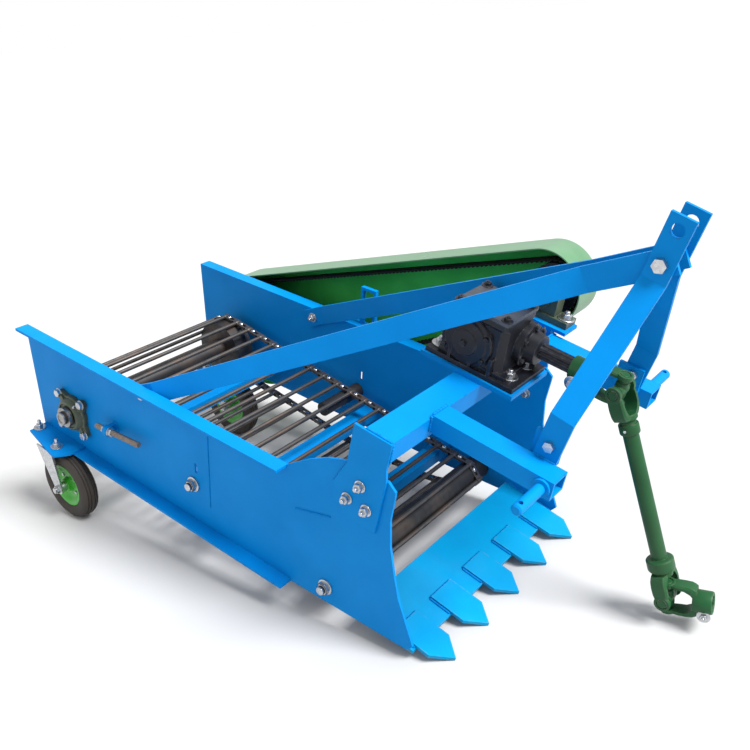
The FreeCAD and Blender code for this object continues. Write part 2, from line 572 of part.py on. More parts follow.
put("wheel_bracket_left", plate([(-1336, edge_bottom(-1336)), (-1240, edge_bottom(-1240)),
                                 (-1240, edge_bottom(-1240) - 6), (-1336, edge_bottom(-1336) - 6)],
                                196.0, PLATE_OUT + BOTTOM_FLANGE))
lt = [uv(-1322, edge_bottom(-1322) - 6), uv(-1262, edge_bottom(-1262) - 6)]
leg_a = leg(xl, [lt[0], lt[1], (xl + 5, WHEEL_R + 15), (xl - 10, WHEEL_R - 12)], 201.0, 206.0)
leg_b = leg(xl, [lt[0], lt[1], (xl + 5, WHEEL_R + 15), (xl - 10, WHEEL_R - 12)], 266.0, 271.0)
put("fork_left", leg_a, leg_b)
axle = fuse(along_y(xl, WHEEL_R, AXLE_R, 188, 284),
            hexagon(V(xl, 201, WHEEL_R), V(0, -1, 0), 19, 8),
            hexagon(V(xl, 271, WHEEL_R), YY, 19, 8),
            along_y(xl, WHEEL_R, 14.0, 206, 214.9), along_y(xl, WHEEL_R, 14.0, 255.1, 266))
put("wheel_axle_left", axle)

# ======================= drive shaft ====================================
D1 = V(TUBE_DIR).normalize()
CROSS_2 = CROSS_1 + D1 * TUBE_LEN
EH = V(math.cos(math.radians(END_PITCH)) * math.cos(math.radians(END_YAW)), math.sin(math.radians(END_YAW)),
       math.sin(math.radians(END_PITCH)) * math.cos(math.radians(END_YAW)))
N2 = YY.cross(V(EH.x, 0, EH.z)).normalize() * -1      # the end yoke's pin line
if N2.z < 0:
    N2 = N2 * -1


def yoke_arms(c, axis, pin):
    """Two arms round a cross: axis points from the cross to the hub."""
    axis, pin = V(axis).normalize(), V(pin).normalize()
    side = axis.cross(pin)
    s = None
    for k in (-1, 1):
        arm = slab(c, axis, side, pin, (0, EAR_ROOT + 12), (-EAR_HALF, EAR_HALF),
                   (k * EAR_IN, k * EAR_OUT) if k > 0 else (-EAR_OUT, -EAR_IN))
        eye = cyl(c + pin * (k * EAR_IN), c + pin * (k * EAR_OUT), EAR_HALF)
        s = fuse(arm, eye) if s is None else fuse(s, arm, eye)
    foot = slab(c, axis, side, pin, (EAR_ROOT, EAR_ROOT + 12), (-EAR_HALF, EAR_HALF), (-EAR_OUT, EAR_OUT))
    s = fuse(s, foot)
    return s, pin


def yoke_bores(s, c, pin):
    return cut(s, cyl(c - pin * 60, c + pin * 60, TRUNNION_R + RUN))


def cross(c, p, q):
    return fuse(cyl(c - p * EAR_OUT, c + p * EAR_OUT, TRUNNION_R), cyl(c - q * EAR_OUT, c + q * EAR_OUT, TRUNNION_R),
                cyl(c - p * 15, c + p * 15, 13.0), cyl(c - q * 15, c + q * 15, 13.0))


arms, pin = yoke_arms(CROSS_1, HT * -1, HN)
hub0, hub1 = G(196, 0, GEAR_Y), G(196, 0, GEAR_Y) + HT * ((CROSS_1 - G(196, 0, GEAR_Y)).dot(HT) - EAR_ROOT - 6)
yoke = fuse(arms, cyl(hub0, hub1, 25.0))
yoke = yoke_bores(yoke, CROSS_1, pin)
yoke = cut(yoke, cyl(G(190, 0, GEAR_Y), G(228, 0, GEAR_Y), SHAFT_R - 1.5 + RUN))
put("input_yoke", yoke)
put("upper_cross", cross(CROSS_1, HN, YY))

a1, p1 = yoke_arms(CROSS_1, D1, YY)
a2, p2 = yoke_arms(CROSS_2, D1 * -1, YY)
T0, T1 = CROSS_1 + D1 * (EAR_ROOT + 6), CROSS_2 - D1 * (EAR_ROOT + 6)
tube = fuse(a1, a2, cyl(T0, T1, 16.0),
            cyl(T0, CROSS_1 + D1 * 64, 21.5),
            cyl(CROSS_1 + D1 * 70, CROSS_1 + D1 * 92, 20.0),
            cyl(CROSS_2 - D1 * 88, CROSS_2 - D1 * 62, 28.0),
            cyl(CROSS_2 - D1 * 64, T1, 21.5))
tube = yoke_bores(yoke_bores(tube, CROSS_1, YY), CROSS_2, YY)
put("drive_tube", tube)
put("lower_cross", cross(CROSS_2, N2, YY))
a3, p3 = yoke_arms(CROSS_2, EH, N2)
E0, E1 = CROSS_2 + EH * (EAR_ROOT + 6), CROSS_2 + EH * END_LEN
end = fuse(a3, cyl(E0, E1, 24.0))
end = yoke_bores(end, CROSS_2, N2)
end = cut(end, cyl(CROSS_2 + EH * (EAR_ROOT - 5), CROSS_2 + EH * 110, SHAFT_R))
put("end_yoke", end)

# ======================= place and write ================================
box = Part.makeCompound(list(nodes.values())).BoundBox
MOVE = V(-(box.XMin + box.XMax) / 2, -(box.YMin + box.YMax) / 2, -box.ZMin)
os.makedirs("parts", exist_ok=True)
for name, shape in nodes.items():
    s = shape.copy()
    s.translate(MOVE)
    s.exportStep("parts/" + name + ".step")

print("nodes", len(nodes))
print("move", tuple(round(c, 3) for c in MOVE))
print("size", round(box.XLength, 2), round(box.YLength, 2), round(box.ZLength, 2))
for n, p in (("cross_1", CROSS_1), ("cross_2", CROSS_2), ("top_hole", TOP_HOLE), ("mast_bolt", MAST_BOLT),
             ("pin_right", H(PIN_A, PIN_B, TUBE_R_Y0)), ("gear", G(0, 0, GEAR_Y)), ("rear_shaft", V(RX, 0, RZ)),
             ("end_tip", E1), ("wheel_right", V(xr, yr, WHEEL_R)), ("wheel_left", V(xl, yl, WHEEL_R))):
    q = p + MOVE
    print(n, [round(c / 1000, 5) for c in (q.x, q.y, q.z)])
for n, d in (("HT", HT), ("HN", HN), ("D1", D1), ("EH", EH), ("N2", N2)):
    print(n, [round(c, 6) for c in (d.x, d.y, d.z)])
for name, shape in nodes.items():
    for s in shape.Solids:
        if not s.isValid() or s.Volume <= 0:
            print("BAD", name, s.isValid(), s.Volume)
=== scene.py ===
import bpy, bmesh, math
from mathutils import Vector, Matrix


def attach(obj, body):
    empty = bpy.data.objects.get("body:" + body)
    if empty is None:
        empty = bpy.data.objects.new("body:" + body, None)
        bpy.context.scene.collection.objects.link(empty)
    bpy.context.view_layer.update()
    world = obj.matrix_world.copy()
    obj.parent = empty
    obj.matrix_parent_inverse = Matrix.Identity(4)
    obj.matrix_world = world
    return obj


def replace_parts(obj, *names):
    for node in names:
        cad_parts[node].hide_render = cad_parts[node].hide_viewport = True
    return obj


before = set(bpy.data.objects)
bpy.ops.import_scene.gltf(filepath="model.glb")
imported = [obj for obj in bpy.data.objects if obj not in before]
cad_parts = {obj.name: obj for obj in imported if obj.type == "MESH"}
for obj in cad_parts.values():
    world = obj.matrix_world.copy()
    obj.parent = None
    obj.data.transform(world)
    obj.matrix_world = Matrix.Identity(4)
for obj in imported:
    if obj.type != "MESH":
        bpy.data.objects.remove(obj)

# Small tractor-mounted potato harvester. Metres, +X forward, +Y the machine's left, +Z up.
# Measurements are kept from an origin on the ground under the share points,
# midway between the side plates; MOVE takes them to the frame's origin.
MOVE = Vector((0.465042, -0.0315, 0.0))
PS, PC = math.sin(math.radians(9.289)), math.cos(math.radians(9.289))
HT = Vector((math.cos(math.radians(16)), 0, -math.sin(math.radians(16))))
HN = Vector((math.sin(math.radians(16)), 0, math.cos(math.radians(16))))
YY = Vector((0, 1, 0))
XX = Vector((1, 0, 0))
ZZ = Vector((0, 0, 1))
U1, V1 = Vector((PC, 0, -PS)), Vector((PS, 0, PC))
mm = 0.001
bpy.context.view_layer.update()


def W(x, y, z):
    """Millimetres from the share points to the frame, metres."""
    return Vector((x, y, z)) * mm + MOVE


def P(u, v, y):
    """Side plate coordinates: along, above, across."""
    return W(u * PC + v * PS, y, -u * PS + v * PC)


def Hp(a, b, y):
    """Hitch coordinates from the beam's top front edge."""
    return W(-71.0, y, 497.3) + (HT * a + HN * b) * mm


def Gp(a, b, y):
    """Gearbox coordinates from its crossing shafts."""
    return W(-110.0, y, 582.0) + (HT * a + HN * b) * mm


# ------------------------------------------------------------ materials
def newmat(name):
    m = bpy.data.materials.new(name)
    m.use_nodes = True
    nt = m.node_tree
    return m, nt, nt.nodes["Principled BSDF"]


def noise(nt, scale, detail=4.0, rough=0.55, stretch=None):
    tc = nt.nodes.new("ShaderNodeTexCoord")
    n = nt.nodes.new("ShaderNodeTexNoise")
    n.inputs["Scale"].default_value = scale
    n.inputs["Detail"].default_value = detail
    n.inputs["Roughness"].default_value = rough
    if stretch:
        mp = nt.nodes.new("ShaderNodeMapping")
        mp.inputs["Scale"].default_value = stretch
        nt.links.new(tc.outputs["Object"], mp.inputs["Vector"])
        nt.links.new(mp.outputs["Vector"], n.inputs["Vector"])
    else:
        nt.links.new(tc.outputs["Object"], n.inputs["Vector"])
    return n


def ramp(nt, fac, stops):
    r = nt.nodes.new("ShaderNodeValToRGB")
    e = r.color_ramp.elements
    while len(e) < len(stops):
        e.new(0.5)
    for el, (p, c) in zip(e, stops):
        el.position = p
        el.color = (c, c, c, 1) if isinstance(c, float) else (*c, 1)
    nt.links.new(fac, r.inputs["Fac"])
    return r


def mixc(nt, fac, a, b):
    m = nt.nodes.new("ShaderNodeMix")
    m.data_type = "RGBA"
    if isinstance(fac, float):
        m.inputs["Factor"].default_value = fac
    else:
        nt.links.new(fac, m.inputs["Factor"])
    for sock, v in (("A", a), ("B", b)):
        s = [i for i in m.inputs if i.name == sock and i.type == "RGBA"][0]
        if isinstance(v, tuple):
            s.default_value = (*v, 1)
        else:
            nt.links.new(v, s)
    return [o for o in m.outputs if o.type == "RGBA"][0]


def edge_wear(nt, dist=0.004):
    """About 1 on convex edges, 0 elsewhere."""
    b = nt.nodes.new("ShaderNodeBevel")
    b.samples = 4
    b.inputs["Radius"].default_value = dist
    g = nt.nodes.new("ShaderNodeNewGeometry")
    d = nt.nodes.new("ShaderNodeVectorMath")
    d.operation = "DOT_PRODUCT"
    nt.links.new(b.outputs["Normal"], d.inputs[0])
    nt.links.new(g.outputs["Normal"], d.inputs[1])
    return ramp(nt, d.outputs["Value"], [(0.90, 1.0), (0.985, 0.0)]).outputs["Color"]


def bump(nt, bs, height, strength, dist):
    b = nt.nodes.new("ShaderNodeBump")
    b.inputs["Strength"].default_value = strength
    b.inputs["Distance"].default_value = dist
    nt.links.new(height, b.inputs["Height"])
    nt.links.new(b.outputs["Normal"], bs.inputs["Normal"])


def paint(name, col, dark, rough=0.34, coat=0.35, wear=None, speck=0.5, metal=0.0, dust=(0.35, 0.30, 0.22), dirt=0.16, spec=0.5):
    m, nt, bs = newmat(name)
    n1 = noise(nt, 7.0, 5.0)
    n2 = noise(nt, 90.0, 3.0)
    n3 = noise(nt, 2.2, 4.0)
    c = mixc(nt, ramp(nt, n1.outputs["Fac"], [(0.35, 0.0), (0.72, 1.0)]).outputs["Color"], col, dark)
    dusty = ramp(nt, n3.outputs["Fac"], [(0.56, 0.0), (0.80, dirt)]).outputs["Color"]
    c = mixc(nt, dusty, c, dust)
    if wear:
        w = nt.nodes.new("ShaderNodeMath")
        w.operation = "MULTIPLY"
        nt.links.new(edge_wear(nt), w.inputs[0])
        nt.links.new(ramp(nt, n2.outputs["Fac"], [(0.45, 0.0), (0.62, speck)]).outputs["Color"], w.inputs[1])
        c = mixc(nt, w.outputs["Value"], c, wear)
    nt.links.new(c, bs.inputs["Base Color"])
    nt.links.new(ramp(nt, n1.outputs["Fac"], [(0.2, rough - 0.06), (0.8, rough + 0.12)]).outputs["Color"], bs.inputs["Roughness"])
    bs.inputs["Metallic"].default_value = metal
    bs.inputs["Coat Weight"].default_value = coat
    bs.inputs["Coat Roughness"].default_value = 0.22
    bs.inputs["Specular IOR Level"].default_value = spec
    bump(nt, bs, n2.outputs["Fac"], 0.06, 0.001)
    return m


def metal(name, col, dark, rough=0.4, stretch=None, scale=60.0, rust=None, mtl=1.0):
    m, nt, bs = newmat(name)
    n1 = noise(nt, scale, 4.0, 0.6, stretch)
    n2 = noise(nt, 9.0, 5.0)
    c = mixc(nt, ramp(nt, n1.outputs["Fac"], [(0.3, 0.0), (0.75, 1.0)]).outputs["Color"], col, dark)
    if rust:
        c = mixc(nt, ramp(nt, n2.outputs["Fac"], [(0.50, 0.0), (0.66, 0.75)]).outputs["Color"], c, rust)
    nt.links.new(c, bs.inputs["Base Color"])
    bs.inputs["Metallic"].default_value = mtl
    nt.links.new(ramp(nt, n1.outputs["Fac"], [(0.2, rough - 0.1), (0.8, rough + 0.15)]).outputs["Color"], bs.inputs["Roughness"])
    bump(nt, bs, n1.outputs["Fac"], 0.10, 0.0006)
    return m


BLUE = paint("blue enamel", (0.0008, 0.218, 0.600), (0.0006, 0.190, 0.540), 0.42, 0.0, (0.003, 0.05, 0.16), 0.4, 0.0, (0.06, 0.20, 0.42), 0.08, 0.06)
BLUE_SHARE = paint("blue share", (0.001, 0.270, 0.520), (0.001, 0.215, 0.460), 0.36, 0.0, (0.16, 0.24, 0.30), 0.6, 0.0, (0.16, 0.26, 0.34), 0.14, 0.10)
GREEN_C = paint("cover green", (0.105, 0.235, 0.125), (0.165, 0.285, 0.185), 0.30, 0.0, (0.07, 0.16, 0.07), 0.3, 0.0, (0.35, 0.30, 0.22), 0.0, 0.12)
# inner face of the belt cover: base colour raised far above the outside green as painted light, standing in for the
# light the shaded inside does not get
GREEN_IN_PAINTED_LIGHT = paint("cover inside painted light", (0.055, 0.470, 0.085), (0.034, 0.350, 0.056), 0.5, 0.0, None, 0.5, 0.0, (0.05, 0.10, 0.05), 0.06, 0.1)
GREEN_D = paint("dark green", (0.010, 0.085, 0.026), (0.007, 0.055, 0.017), 0.42, 0.05, (0.10, 0.11, 0.07), 0.7, 0.0, (0.10, 0.11, 0.07), 0.12, 0.25)
RIM = paint("rim green", (0.045, 0.40, 0.026), (0.030, 0.32, 0.020), 0.28, 0.2, (0.10, 0.12, 0.06), 0.4)
OLIVE = paint("olive casting", (0.050, 0.072, 0.042), (0.030, 0.046, 0.027), 0.45, 0.1, (0.20, 0.19, 0.15), 0.7)
BLACKC = paint("black casting", (0.006, 0.007, 0.011), (0.012, 0.013, 0.019), 0.40, 0.08, (0.07, 0.07, 0.08), 0.8, 0.0, (0.07, 0.07, 0.08), 0.10, 0.3)
GREYP = metal("grey plate", (0.11, 0.12, 0.145), (0.07, 0.075, 0.09), 0.42, (1, 8, 1), 40.0, None, 0.7)
DARKS = metal("dark steel", (0.115, 0.110, 0.106), (0.055, 0.053, 0.053), 0.40, (1, 1, 1), 50.0, (0.15, 0.10, 0.072), 0.7)
ZINC = metal("zinc plate", (0.62, 0.63, 0.64), (0.40, 0.41, 0.43), 0.28, None, 120.0)
DRUM = metal("drum steel", (0.045, 0.044, 0.045), (0.022, 0.022, 0.023), 0.42, (1, 1, 1), 50.0, (0.09, 0.065, 0.05), 0.6)
BARE = metal("bare steel", (0.40, 0.39, 0.37), (0.24, 0.23, 0.22), 0.32, (1, 14, 1), 70.0)
RUST = metal("worn rod", (0.30, 0.25, 0.21), (0.15, 0.11, 0.08), 0.5, None, 200.0, None, 0.5)
BRONZE = metal("bearing cap", (0.20, 0.155, 0.085), (0.12, 0.09, 0.05), 0.4, None, 90.0, None, 0.8)
RUBBER = paint("belt rubber", (0.010, 0.010, 0.010), (0.018, 0.018, 0.018), 0.8, 0.0, None, 0.5, 0.0, (0.03, 0.03, 0.03), 0.1, 0.2)
TYRE = paint("tyre rubber", (0.034, 0.029, 0.025), (0.054, 0.046, 0.038), 0.62, 0.0, None, 0.5, 0.0, (0.12, 0.10, 0.085), 0.35, 0.3)


# ------------------------------------------------------------ mesh tools
def obj_from(bm, name, mat, body, bevel=0.0, smooth=True, seg=2):
    name = name.replace(" ", "_")
    me = bpy.data.meshes.new(name)
    bmesh.ops.recalc_face_normals(bm, faces=bm.faces)
    bm.to_mesh(me)
    bm.free()
    o = bpy.data.objects.new(name, me)
    bpy.context.scene.collection.objects.link(o)
    for mt in (mat if isinstance(mat, (list, tuple)) else [mat]):
        me.materials.append(mt)
    if smooth:
        me.polygons.foreach_set("use_smooth", [True] * len(me.polygons))
    if bevel:
        b = o.modifiers.new("bevel", "BEVEL")
        b.width = bevel
        b.segments = seg
        b.limit_method = "ANGLE"
        b.angle_limit = math.radians(32)
        b.harden_normals = False
    if smooth:
        try:
            me.set_sharp_from_angle(angle=math.radians(38))
        except Exception:
            pass
    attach(o, body)
    return o


def basis(d, up=None):
    d = Vector(d).normalized()
    up = Vector(up) if up is not None else (ZZ if abs(d.z) < 0.9 else XX)
    x = up.cross(d)
    if x.length < 1e-6:
        x = XX.cross(d)
    x.normalize()
    y = d.cross(x)
    return x, y, d


def add_lathe(bm, o, d, prof, n=32, mi=0, cap=True, a0=0.0):
    """Revolve (distance along d, radius) points round the line o, d."""
    x, y, d = basis(d)
    rings = []
    for h, r in prof:
        rings.append([bm.verts.new(o + d * h + (x * math.cos(a0 + 2 * math.pi * k / n) + y * math.sin(a0 + 2 * math.pi * k / n)) * r) for k in range(n)])
    for A, B in zip(rings, rings[1:]):
        for k in range(n):
            f = bm.faces.new((A[k], A[(k + 1) % n], B[(k + 1) % n], B[k]))
            f.material_index = mi
    if cap:
        for R in (rings[0], rings[-1]):
            f = bm.faces.new(R)
            f.material_index = mi
    return rings


def add_ring(bm, o, d, prof, n=32, mi=0):
    """Closed section revolved round the line."""
    x, y, d = basis(d)
    rings = []
    for h, r in prof:
        rings.append([bm.verts.new(o + d * h + (x * math.cos(2 * math.pi * k / n) + y * math.sin(2 * math.pi * k / n)) * r) for k in range(n)])
    m = len(rings)
    for i in range(m):
        A, B = rings[i], rings[(i + 1) % m]
        for k in range(n):
            f = bm.faces.new((A[k], A[(k + 1) % n], B[(k + 1) % n], B[k]))
            f.material_index = mi


def add_hex(bm, o, d, flat, h, mi=0, washer=0.0, shank=0.0, wr=None):
    """Hexagon head with chamfer, on an optional washer, with an optional stub of thread."""
    o = Vector(o)
    d = Vector(d).normalized()
    if washer:
        wr = wr or flat * 0.98
        add_lathe(bm, o, d, [(0, wr), (washer * 0.8, wr), (washer, wr * 0.96)], 24, mi)
        o = o + d * washer
    r = flat / math.sqrt(3)
    x, y, _ = basis(d)
    lv = []
    for hh, k in ((0, 1.0), (h * 0.82, 1.0), (h, 0.84)):
        lv.append([bm.verts.new(o + d * hh + (x * math.cos(j * math.pi / 3) + y * math.sin(j * math.pi / 3)) * r * k) for j in range(6)])
    for A, B in zip(lv, lv[1:]):
        for k in range(6):
            bm.faces.new((A[k], A[(k + 1) % 6], B[(k + 1) % 6], B[k])).material_index = mi
    bm.faces.new(lv[0]).material_index = mi
    bm.faces.new(lv[2]).material_index = mi
    if shank:
        add_lathe(bm, o + d * h * 0.98, d, [(0, flat * 0.28), (shank * 0.85, flat * 0.28), (shank, flat * 0.22)], 12, mi)


def add_poly(bm, pts, d, mi=0):
    """Polygon pushed along d."""
    a = [bm.verts.new(Vector(p)) for p in pts]
    b = [bm.verts.new(Vector(p) + Vector(d)) for p in pts]
    bm.faces.new(a).material_index = mi
    bm.faces.new(b[::-1]).material_index = mi
    n = len(a)
    for k in range(n):
        bm.faces.new((a[k], b[k], b[(k + 1) % n], a[(k + 1) % n])).material_index = mi


def add_bar(bm, o, e1, e2, e3, a, b, c, mi=0):
    pts = [o + e1 * i + e2 * j + e3 * c[0] for i, j in ((a[0], b[0]), (a[1], b[0]), (a[1], b[1]), (a[0], b[1]))]
    add_poly(bm, pts, e3 * (c[1] - c[0]), mi)


def add_weld(bm, p, q, r, mi=0, seed=0):
    """A weld bead: a row of small overlapping ripples from p to q."""
    p, q = Vector(p), Vector(q)
    L = (q - p).length
    n = max(2, int(L / (r * 0.75)))
    d = (q - p).normalized()
    x, y, d = basis(d)
    rings = []
    for i in range(n * 2 + 1):
        t = i / (n * 2)
        k = 1.0 if i % 2 else 0.78
        k *= 1.0 + 0.13 * math.sin(i * 2.3 + seed) + 0.08 * math.sin(i * 5.1 + seed * 3)
        c = p + (q - p) * t
        rings.append([bm.verts.new(c + (x * math.cos(2 * math.pi * j / 8) + y * math.sin(2 * math.pi * j / 8)) * r * k) for j in range(8)])
    for A, B in zip(rings, rings[1:]):
        for k in range(8):
            bm.faces.new((A[k], A[(k + 1) % 8], B[(k + 1) % 8], B[k])).material_index = mi
    bm.faces.new(rings[0]).material_index = mi
    bm.faces.new(rings[-1]).material_index = mi


# ------------------------------------------------------------ CAD nodes: materials and soft edges
GROUPS = [
    (BLUE, "side_plate_right side_plate_left beam_post_right beam_post_left cross_beam cross_members hitch_tube_right "
           "hitch_tube_left hitch_pin_right hitch_pin_left mast_bar_right mast_bar_left mast_lugs strut_right strut_left "
           "gearbox_mount pillow_bracket cover_brackets flange_hoop wheel_bracket_right wheel_bracket_left", 0.0009),
    (BLUE_SHARE, "share_plate share_teeth", 0.0009),
    (DRUM, "front_roller idler_rollers rear_drive_shaft drive_drums", 0.0008),
    (ZINC, "mast_bolts wheel_axle_right wheel_axle_left fork_right fork_left", 0.0007),
    (BARE, "output_shaft locking_collars", 0.0008),
    (BLACKC, "drive_pulley driven_pulley", 0.0008),
    (OLIVE, "pillow_block", 0.0015),
    (GREYP, "gearbox_cover", 0.0009),
]
for mat, names, w in GROUPS:
    for nm in names.split():
        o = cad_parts[nm]
        o.data.materials.clear()
        o.data.materials.append(mat)
        b = o.modifiers.new("edge", "BEVEL")
        b.width = w
        b.segments = 2
        b.limit_method = "ANGLE"
        b.angle_limit = math.radians(35)

CAM = Vector((803.609, -1354.403, 1222.173)) * mm + MOVE


# ------------------------------------------------------------ conveyor web
def web_points(off):
    """The web's middle line in plate coordinates, moved out by off (mm)."""
    DC, DR, IC, IR, FC, FR = (-1171.0, 119.0), 87.5 + off, (-712.0, 115.0), 26.0 + off, (-301.0, 49.0), 38.0 + off

    def tang(c1, r1, c2, r2):
        dx, dz = c2[0] - c1[0], c2[1] - c1[1]
        return math.atan2(dz, dx) + math.acos((r1 - r2) / math.hypot(dx, dz))
    t1, t2 = tang(DC, DR, IC, IR), tang(IC, IR, FC, FR)
    tm = (t1 + t2) / 2
    pts = []

    def arc(c, r, a0, a1, n):
        for i in range(n + 1):
            a = a0 + (a1 - a0) * i / n
            pts.append((c[0] + r * math.cos(a), c[1] + r * math.sin(a)))
    arc(DC, DR, math.radians(-86), t1 - 2 * math.pi, 22)
    pts.append((IC[0] + IR * math.cos(tm), IC[1] + IR * math.sin(tm)))
    arc(FC, FR, t2, math.radians(-105), 12)
    sag = [(-413, -15), (-551, -17), (-713, -19), (-850, 3), (-960, 18), (-1060, 27)]
    for i, (u, v) in enumerate(sag):
        pu, pv = sag[i - 1] if i else (-311.0, 11.0)
        nu, nv = sag[i + 1] if i + 1 < len(sag) else (-1165.0, 31.5)
        tx, tz = nu - pu, nv - pv
        L = math.hypot(tx, tz)
        pts.append((u - off * tz / L, v + off * tx / L))
    return pts


mid = web_points(0.0)
ring = mid + [mid[0]]
seg = [math.hypot(b[0] - a[0], b[1] - a[1]) for a, b in zip(ring, ring[1:])]
TOTAL = sum(seg)
ROD_N = 43


def web_at(s):
    """Point and direction along at distance s round the web."""
    s %= TOTAL
    i = 0
    while s > seg[i]:
        s -= seg[i]
        i += 1
    a, b = ring[i], ring[i + 1]
    t = s / seg[i]
    u, v = a[0] + (b[0] - a[0]) * t, a[1] + (b[1] - a[1]) * t
    du, dv = (b[0] - a[0]) / seg[i], (b[1] - a[1]) / seg[i]
    return (u, v), (du, dv)


stations = [TOTAL * (k + 0.35) / ROD_N for k in range(ROD_N)]
bm = bmesh.new()
for k, s in enumerate(stations):
    (u, v), (du, dv) = web_at(s)
    for y0, y1 in ((-231.0, 231.0),):
        add_lathe(bm, P(u, v, y0), YY, [(0, 0.0055), (0.002, 0.0055), (0.460, 0.0055), (0.462, 0.0055)], 12)
    for sgn in (-1, 1):
        # flattened rod end, lying on the chain
        d = U1 * du + V1 * dv
        n = U1 * -dv + V1 * du
        o = P(u, v, sgn * 240.0)
        add_bar(bm, o, d, YY, n, (-0.0075, 0.0075), (-0.0100, 0.0100), (-0.0042, 0.0042))
rods = obj_from(bm, "web rods", DARKS, "frame", 0.0006)
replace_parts(rods, "conveyor_rods")


def chain(sgn):
    """Hooked links: each joins one rod to the next, with a rolled eye and an open loop."""
    bm = bmesh.new()
    for k, s in enumerate(stations):
        (u0, v0), _ = web_at(s)
        (u1, v1), _ = web_at(s + TOTAL / ROD_N)
        a, b = P(u0, v0, sgn * 240.0), P(u1, v1, sgn * 240.0)
        d = (b - a).normalized()
        n = d.cross(YY)
        L = (b - a).length
        # two side bars of a link with an open middle
        for ys in (-1, 1):
            add_bar(bm, a, d, YY, n, (0.004, L - 0.004), (ys * 0.0070 - 0.0026, ys * 0.0070 + 0.0026), (-0.0038, 0.0038))
        add_bar(bm, a, d, YY, n, (L - 0.014, L - 0.005), (-0.0096, 0.0096), (-0.0046, 0.0046))
        add_lathe(bm, a - YY * 0.0085, YY, [(0, 0.0058), (0.001, 0.0062), (0.016, 0.0062), (0.017, 0.0058)], 12)
        # bright head of the rod's bolt
        add_lathe(bm, a + d * 0.017 - n * 0.003, n, [(0, 0.0062), (0.0085, 0.0062), (0.0104, 0.0040)], 12, 1)
    return obj_from(bm, "web chain " + ("left" if sgn > 0 else "right"), [DARKS, ZINC], "frame", 0.0004)


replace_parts(chain(-1), "conveyor_chain_right")
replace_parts(chain(1), "conveyor_chain_left")


# ------------------------------------------------------------ wheels
def tyre(center, name, body):
    bm = bmesh.new()
    n = 96
    R = 0.098
    # section: across, radius
    sec = [(-0.0155, 0.0582), (-0.020, 0.064), (-0.0228, 0.072), (-0.0236, 0.080), (-0.0222, 0.087), (-0.0190, 0.0925),
           (-0.0150, 0.0953), (-0.0142, 0.0935), (-0.0118, 0.0935), (-0.0110, 0.0966), (-0.0075, 0.0974), (-0.0068, 0.0952),
           (-0.0042, 0.0952), (-0.0035, 0.0979), (0.0, 0.0980)]
    full = sec + [(-a, r) for a, r in sec[-2::-1]]
    full += [(0.012, 0.0582), (-0.012, 0.0582)]
    rings = []
    for k in range(n):
        t = 2 * math.pi * k / n
        c, s = math.cos(t), math.sin(t)
        row = []
        for i, (a, r) in enumerate(full):
            rr = r
            if 0.0885 < r < 0.0945 and abs(a) > 0.017:
                rr = r - (0.0012 if k % 3 == 0 else 0.0)
            row.append(bm.verts.new(center + Vector((c * rr, a, s * rr))))
        rings.append(row)
    m = len(full)
    for k in range(n):
        A, B = rings[k], rings[(k + 1) % n]
        for i in range(m):
            bm.faces.new((A[i], B[i], B[(i + 1) % m], A[(i + 1) % m]))
    o = obj_from(bm, "tyre " + name, TYRE, body)
    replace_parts(o, "tyre_" + name)


def rim(center, name, body):
    bm = bmesh.new()
    sec = [(-0.0195, 0.0085), (-0.0195, 0.0165), (-0.0185, 0.0185), (-0.009, 0.0190), (-0.0050, 0.0215), (-0.0042, 0.030),
           (-0.0060, 0.038), (-0.0105, 0.044), (-0.0150, 0.0485), (-0.0172, 0.0530), (-0.0180, 0.0575), (-0.0178, 0.0597),
           (-0.0158, 0.0600), (-0.0154, 0.0578)]
    full = sec + [(-a, r) for a, r in reversed(sec)]
    n = 64
    rings = []
    for k in range(n):
        t = 2 * math.pi * k / n
        rings.append([bm.verts.new(center + Vector((math.cos(t) * r, a, math.sin(t) * r))) for a, r in full])
    m = len(full)
    for k in range(n):
        A, B = rings[k], rings[(k + 1) % n]
        for i in range(m):
            bm.faces.new((A[i], B[i], B[(i + 1) % m], A[(i + 1) % m]))
    for k in range(4):
        t = math.radians(45 + 90 * k)
        add_hex(bm, center + Vector((math.cos(t) * 0.031, -0.0035, math.sin(t) * 0.031)), -YY, 0.009, 0.004, 1)
    o = obj_from(bm, "rim " + name, [RIM, ZINC], body)
    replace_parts(o, "rim_" + name)


WR, WL = W(-1184, -340, 98), W(-1160, 235, 98)
tyre(WR, "right", "wheel_right")
rim(WR, "right", "wheel_right")
tyre(WL, "left", "wheel_left")
rim(WL, "left", "wheel_left")
